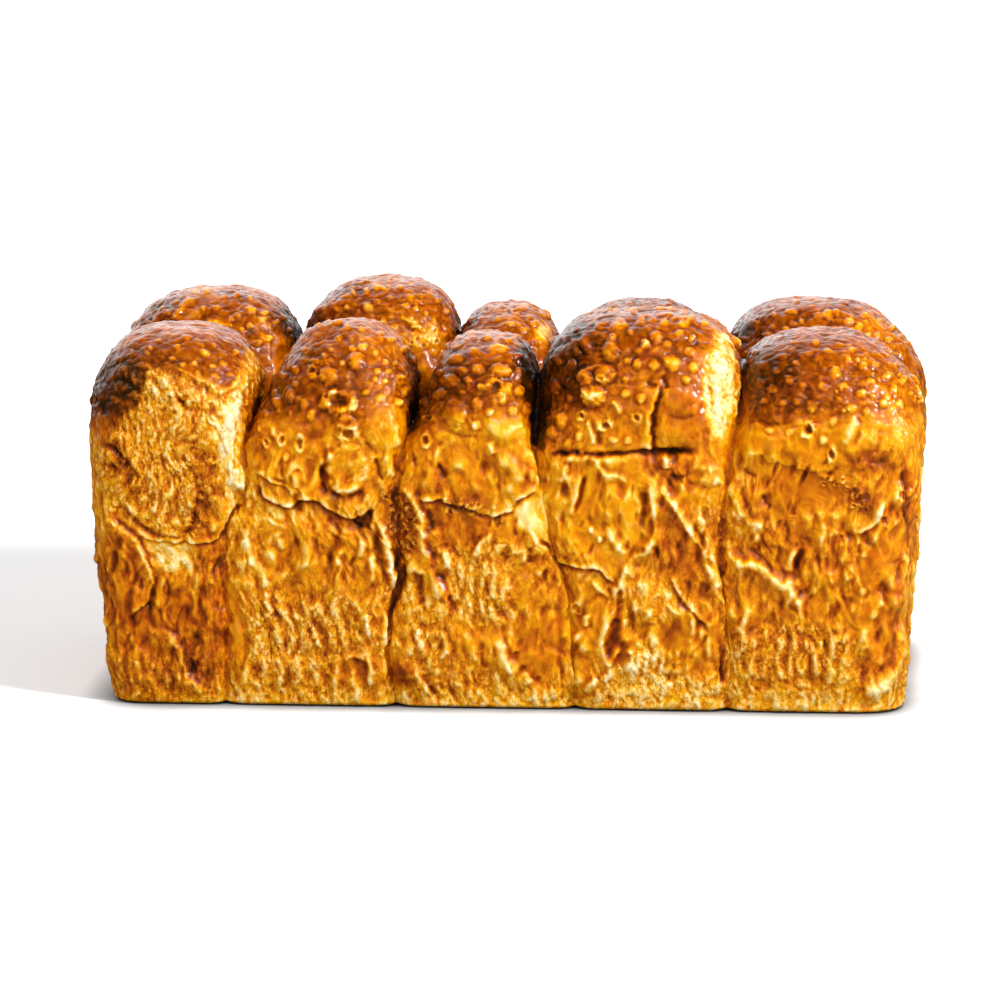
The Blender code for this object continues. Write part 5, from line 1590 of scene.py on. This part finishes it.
def floor_material():
    """Pale table: white where its lamp reaches it, light grey in the shadow, and
    dimmer for what it throws back at the loaf. For the camera it also glows, a painted
    light that lifts its shadow to light grey and keeps the far table white; next to the
    loaf its glow and its colour fade with occlusion, a painted contact shadow."""
    mat = bpy.data.materials.new("floor")
    mat.use_nodes = True
    nt = mat.node_tree
    nt.nodes.clear()
    new, link = nt.nodes.new, nt.links.new

    def math_node(op, a, b):
        made = new("ShaderNodeMath")
        made.operation = op
        for i, value in enumerate((a, b)):
            if hasattr(value, "links"):
                link(value, made.inputs[i])
            else:
                made.inputs[i].default_value = value
        return made.outputs[0]

    out, add = new("ShaderNodeOutputMaterial"), new("ShaderNodeAddShader")
    dif, em = new("ShaderNodeBsdfDiffuse"), new("ShaderNodeEmission")
    ao = new("ShaderNodeAmbientOcclusion")
    ao.inputs["Distance"].default_value = 0.014
    ao.samples = 8
    path = new("ShaderNodeLightPath")
    seen = path.outputs["Is Camera Ray"]
    geo, far = new("ShaderNodeNewGeometry"), new("ShaderNodeVectorMath")
    far.operation = "LENGTH"
    link(geo.outputs["Position"], far.inputs[0])
    lift = new("ShaderNodeMapRange")
    lift.inputs["From Min"].default_value, lift.inputs["From Max"].default_value = 0.40, 1.0
    lift.inputs["To Min"].default_value, lift.inputs["To Max"].default_value = FLOOR_NEAR, 1.15
    link(far.outputs["Value"], lift.inputs["Value"])
    near = math_node("POWER", ao.outputs["AO"], 1.7)
    link(math_node("MULTIPLY", math_node("MULTIPLY", near, lift.outputs["Result"]), seen), em.inputs["Strength"])
    grey = new("ShaderNodeMapRange")
    grey.inputs["To Min"].default_value, grey.inputs["To Max"].default_value = FLOOR_BOUNCE, 0.80
    link(seen, grey.inputs["Value"])
    dim = math_node("SUBTRACT", 1.0, math_node("MULTIPLY", path.outputs["Is Glossy Ray"], 0.85))
    link(math_node("MULTIPLY", math_node("MULTIPLY", grey.outputs["Result"], near), dim), dif.inputs["Color"])
    link(dif.outputs[0], add.inputs[0])
    link(em.outputs[0], add.inputs[1])
    link(add.outputs[0], out.inputs[0])
    return mat


FLOOR_NEAR, FLOOR_BOUNCE = 0.46, 0.40
floor.data.materials.append(floor_material())


def lamp(name, az, el, dist, size, watts, colour=(1, 1, 1)):
    """A soft light: az 0 is in front of the loaf, 90 at its right."""
    a, e = math.radians(az), math.radians(el)
    data = bpy.data.lights.new(name, "AREA")
    data.shape = "RECTANGLE"
    data.size, data.size_y = size
    data.energy = watts
    data.color = colour
    obj = bpy.data.objects.new(name, data)
    pos = Vector((math.sin(a) * math.cos(e), -math.cos(a) * math.cos(e), math.sin(e))) * dist
    obj.location = pos + Vector((0, 0, 0.07))
    obj.rotation_euler = (-pos).to_track_quat("-Z", "Y").to_euler()
    scene.collection.objects.link(obj)
    return obj


def lights_only(light, *things):
    """Keep a lamp to some of the things on the stage."""
    group = bpy.data.collections.new(light.name + "_on")
    for thing in things:
        group.objects.link(thing)
    light.light_linking.receiver_collection = group


key = lamp("key", 60, 43, 1.35, (0.34, 0.34), 22.0)
key.visible_glossy = False
lights_only(key, loaf)
sheen = lamp("sheen", 78, 18, 1.35, (0.26, 0.30), 13.0)
sheen.visible_diffuse = False
lights_only(sheen, loaf)
lights_only(lamp("table", 62, 23.5, 2.2, (0.26, 0.26), 112.0), floor)
for label, az, el, watts in (("fill", -12, 24, 13.0), ("fill_back", 205, 26, 21.0)):
    fill = lamp(label, az, el, 1.6, (0.9, 0.6), watts)
    fill.visible_glossy = False
    lights_only(fill, loaf)
for label, az, el, watts in (("glint_right", 52, 40, 5.2), ("glint_front", 18, 52, 2.0), ("glint_low", 40, 18, 1.7), ("glint_far", 86, 34, 2.6),
                             ("glint_mid", 27, 33, 1.7)):
    glint = lamp(label, az, el, 1.5, (0.10, 0.10), watts)
    glint.visible_diffuse = False
    lights_only(glint, loaf)


def studio():
    """Even white for the picture's ground, dim for what lights the crust, and a
    brighter sky behind the loaf and to its left, which its domes mirror."""
    world = bpy.data.worlds.new("studio")
    world.use_nodes = True
    nt = world.node_tree
    new, link = nt.nodes.new, nt.links.new
    bg = nt.nodes["Background"]
    bg.inputs["Color"].default_value = (1, 1, 1, 1)
    path, coord, toward = (new("ShaderNodeLightPath"), new("ShaderNodeTexCoord"), new("ShaderNodeVectorMath"))
    toward.operation = "DOT_PRODUCT"
    toward.inputs[1].default_value = (-0.42, 0.85, 0.32)
    link(coord.outputs["Generated"], toward.inputs[0])
    behind = new("ShaderNodeMapRange")
    behind.inputs["From Min"].default_value, behind.inputs["From Max"].default_value = 0.5, 0.96
    behind.inputs["To Min"].default_value, behind.inputs["To Max"].default_value = 0.0, SKY_MIRROR
    link(toward.outputs["Value"], behind.inputs["Value"])
    pick = new("ShaderNodeMix")
    pick.inputs["A"].default_value = AMBIENT
    link(path.outputs["Is Glossy Ray"], pick.inputs["Factor"])
    link(behind.outputs["Result"], pick.inputs["B"])
    top = new("ShaderNodeMath")
    top.operation = "MAXIMUM"
    link(pick.outputs["Result"], top.inputs[0])
    link(path.outputs["Is Camera Ray"], top.inputs[1])
    link(top.outputs[0], bg.inputs["Strength"])
    return world


AMBIENT, SKY_MIRROR = 0.50, 1.9
scene.world = studio()

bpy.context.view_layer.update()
print("script", round(time.time() - T0, 1))
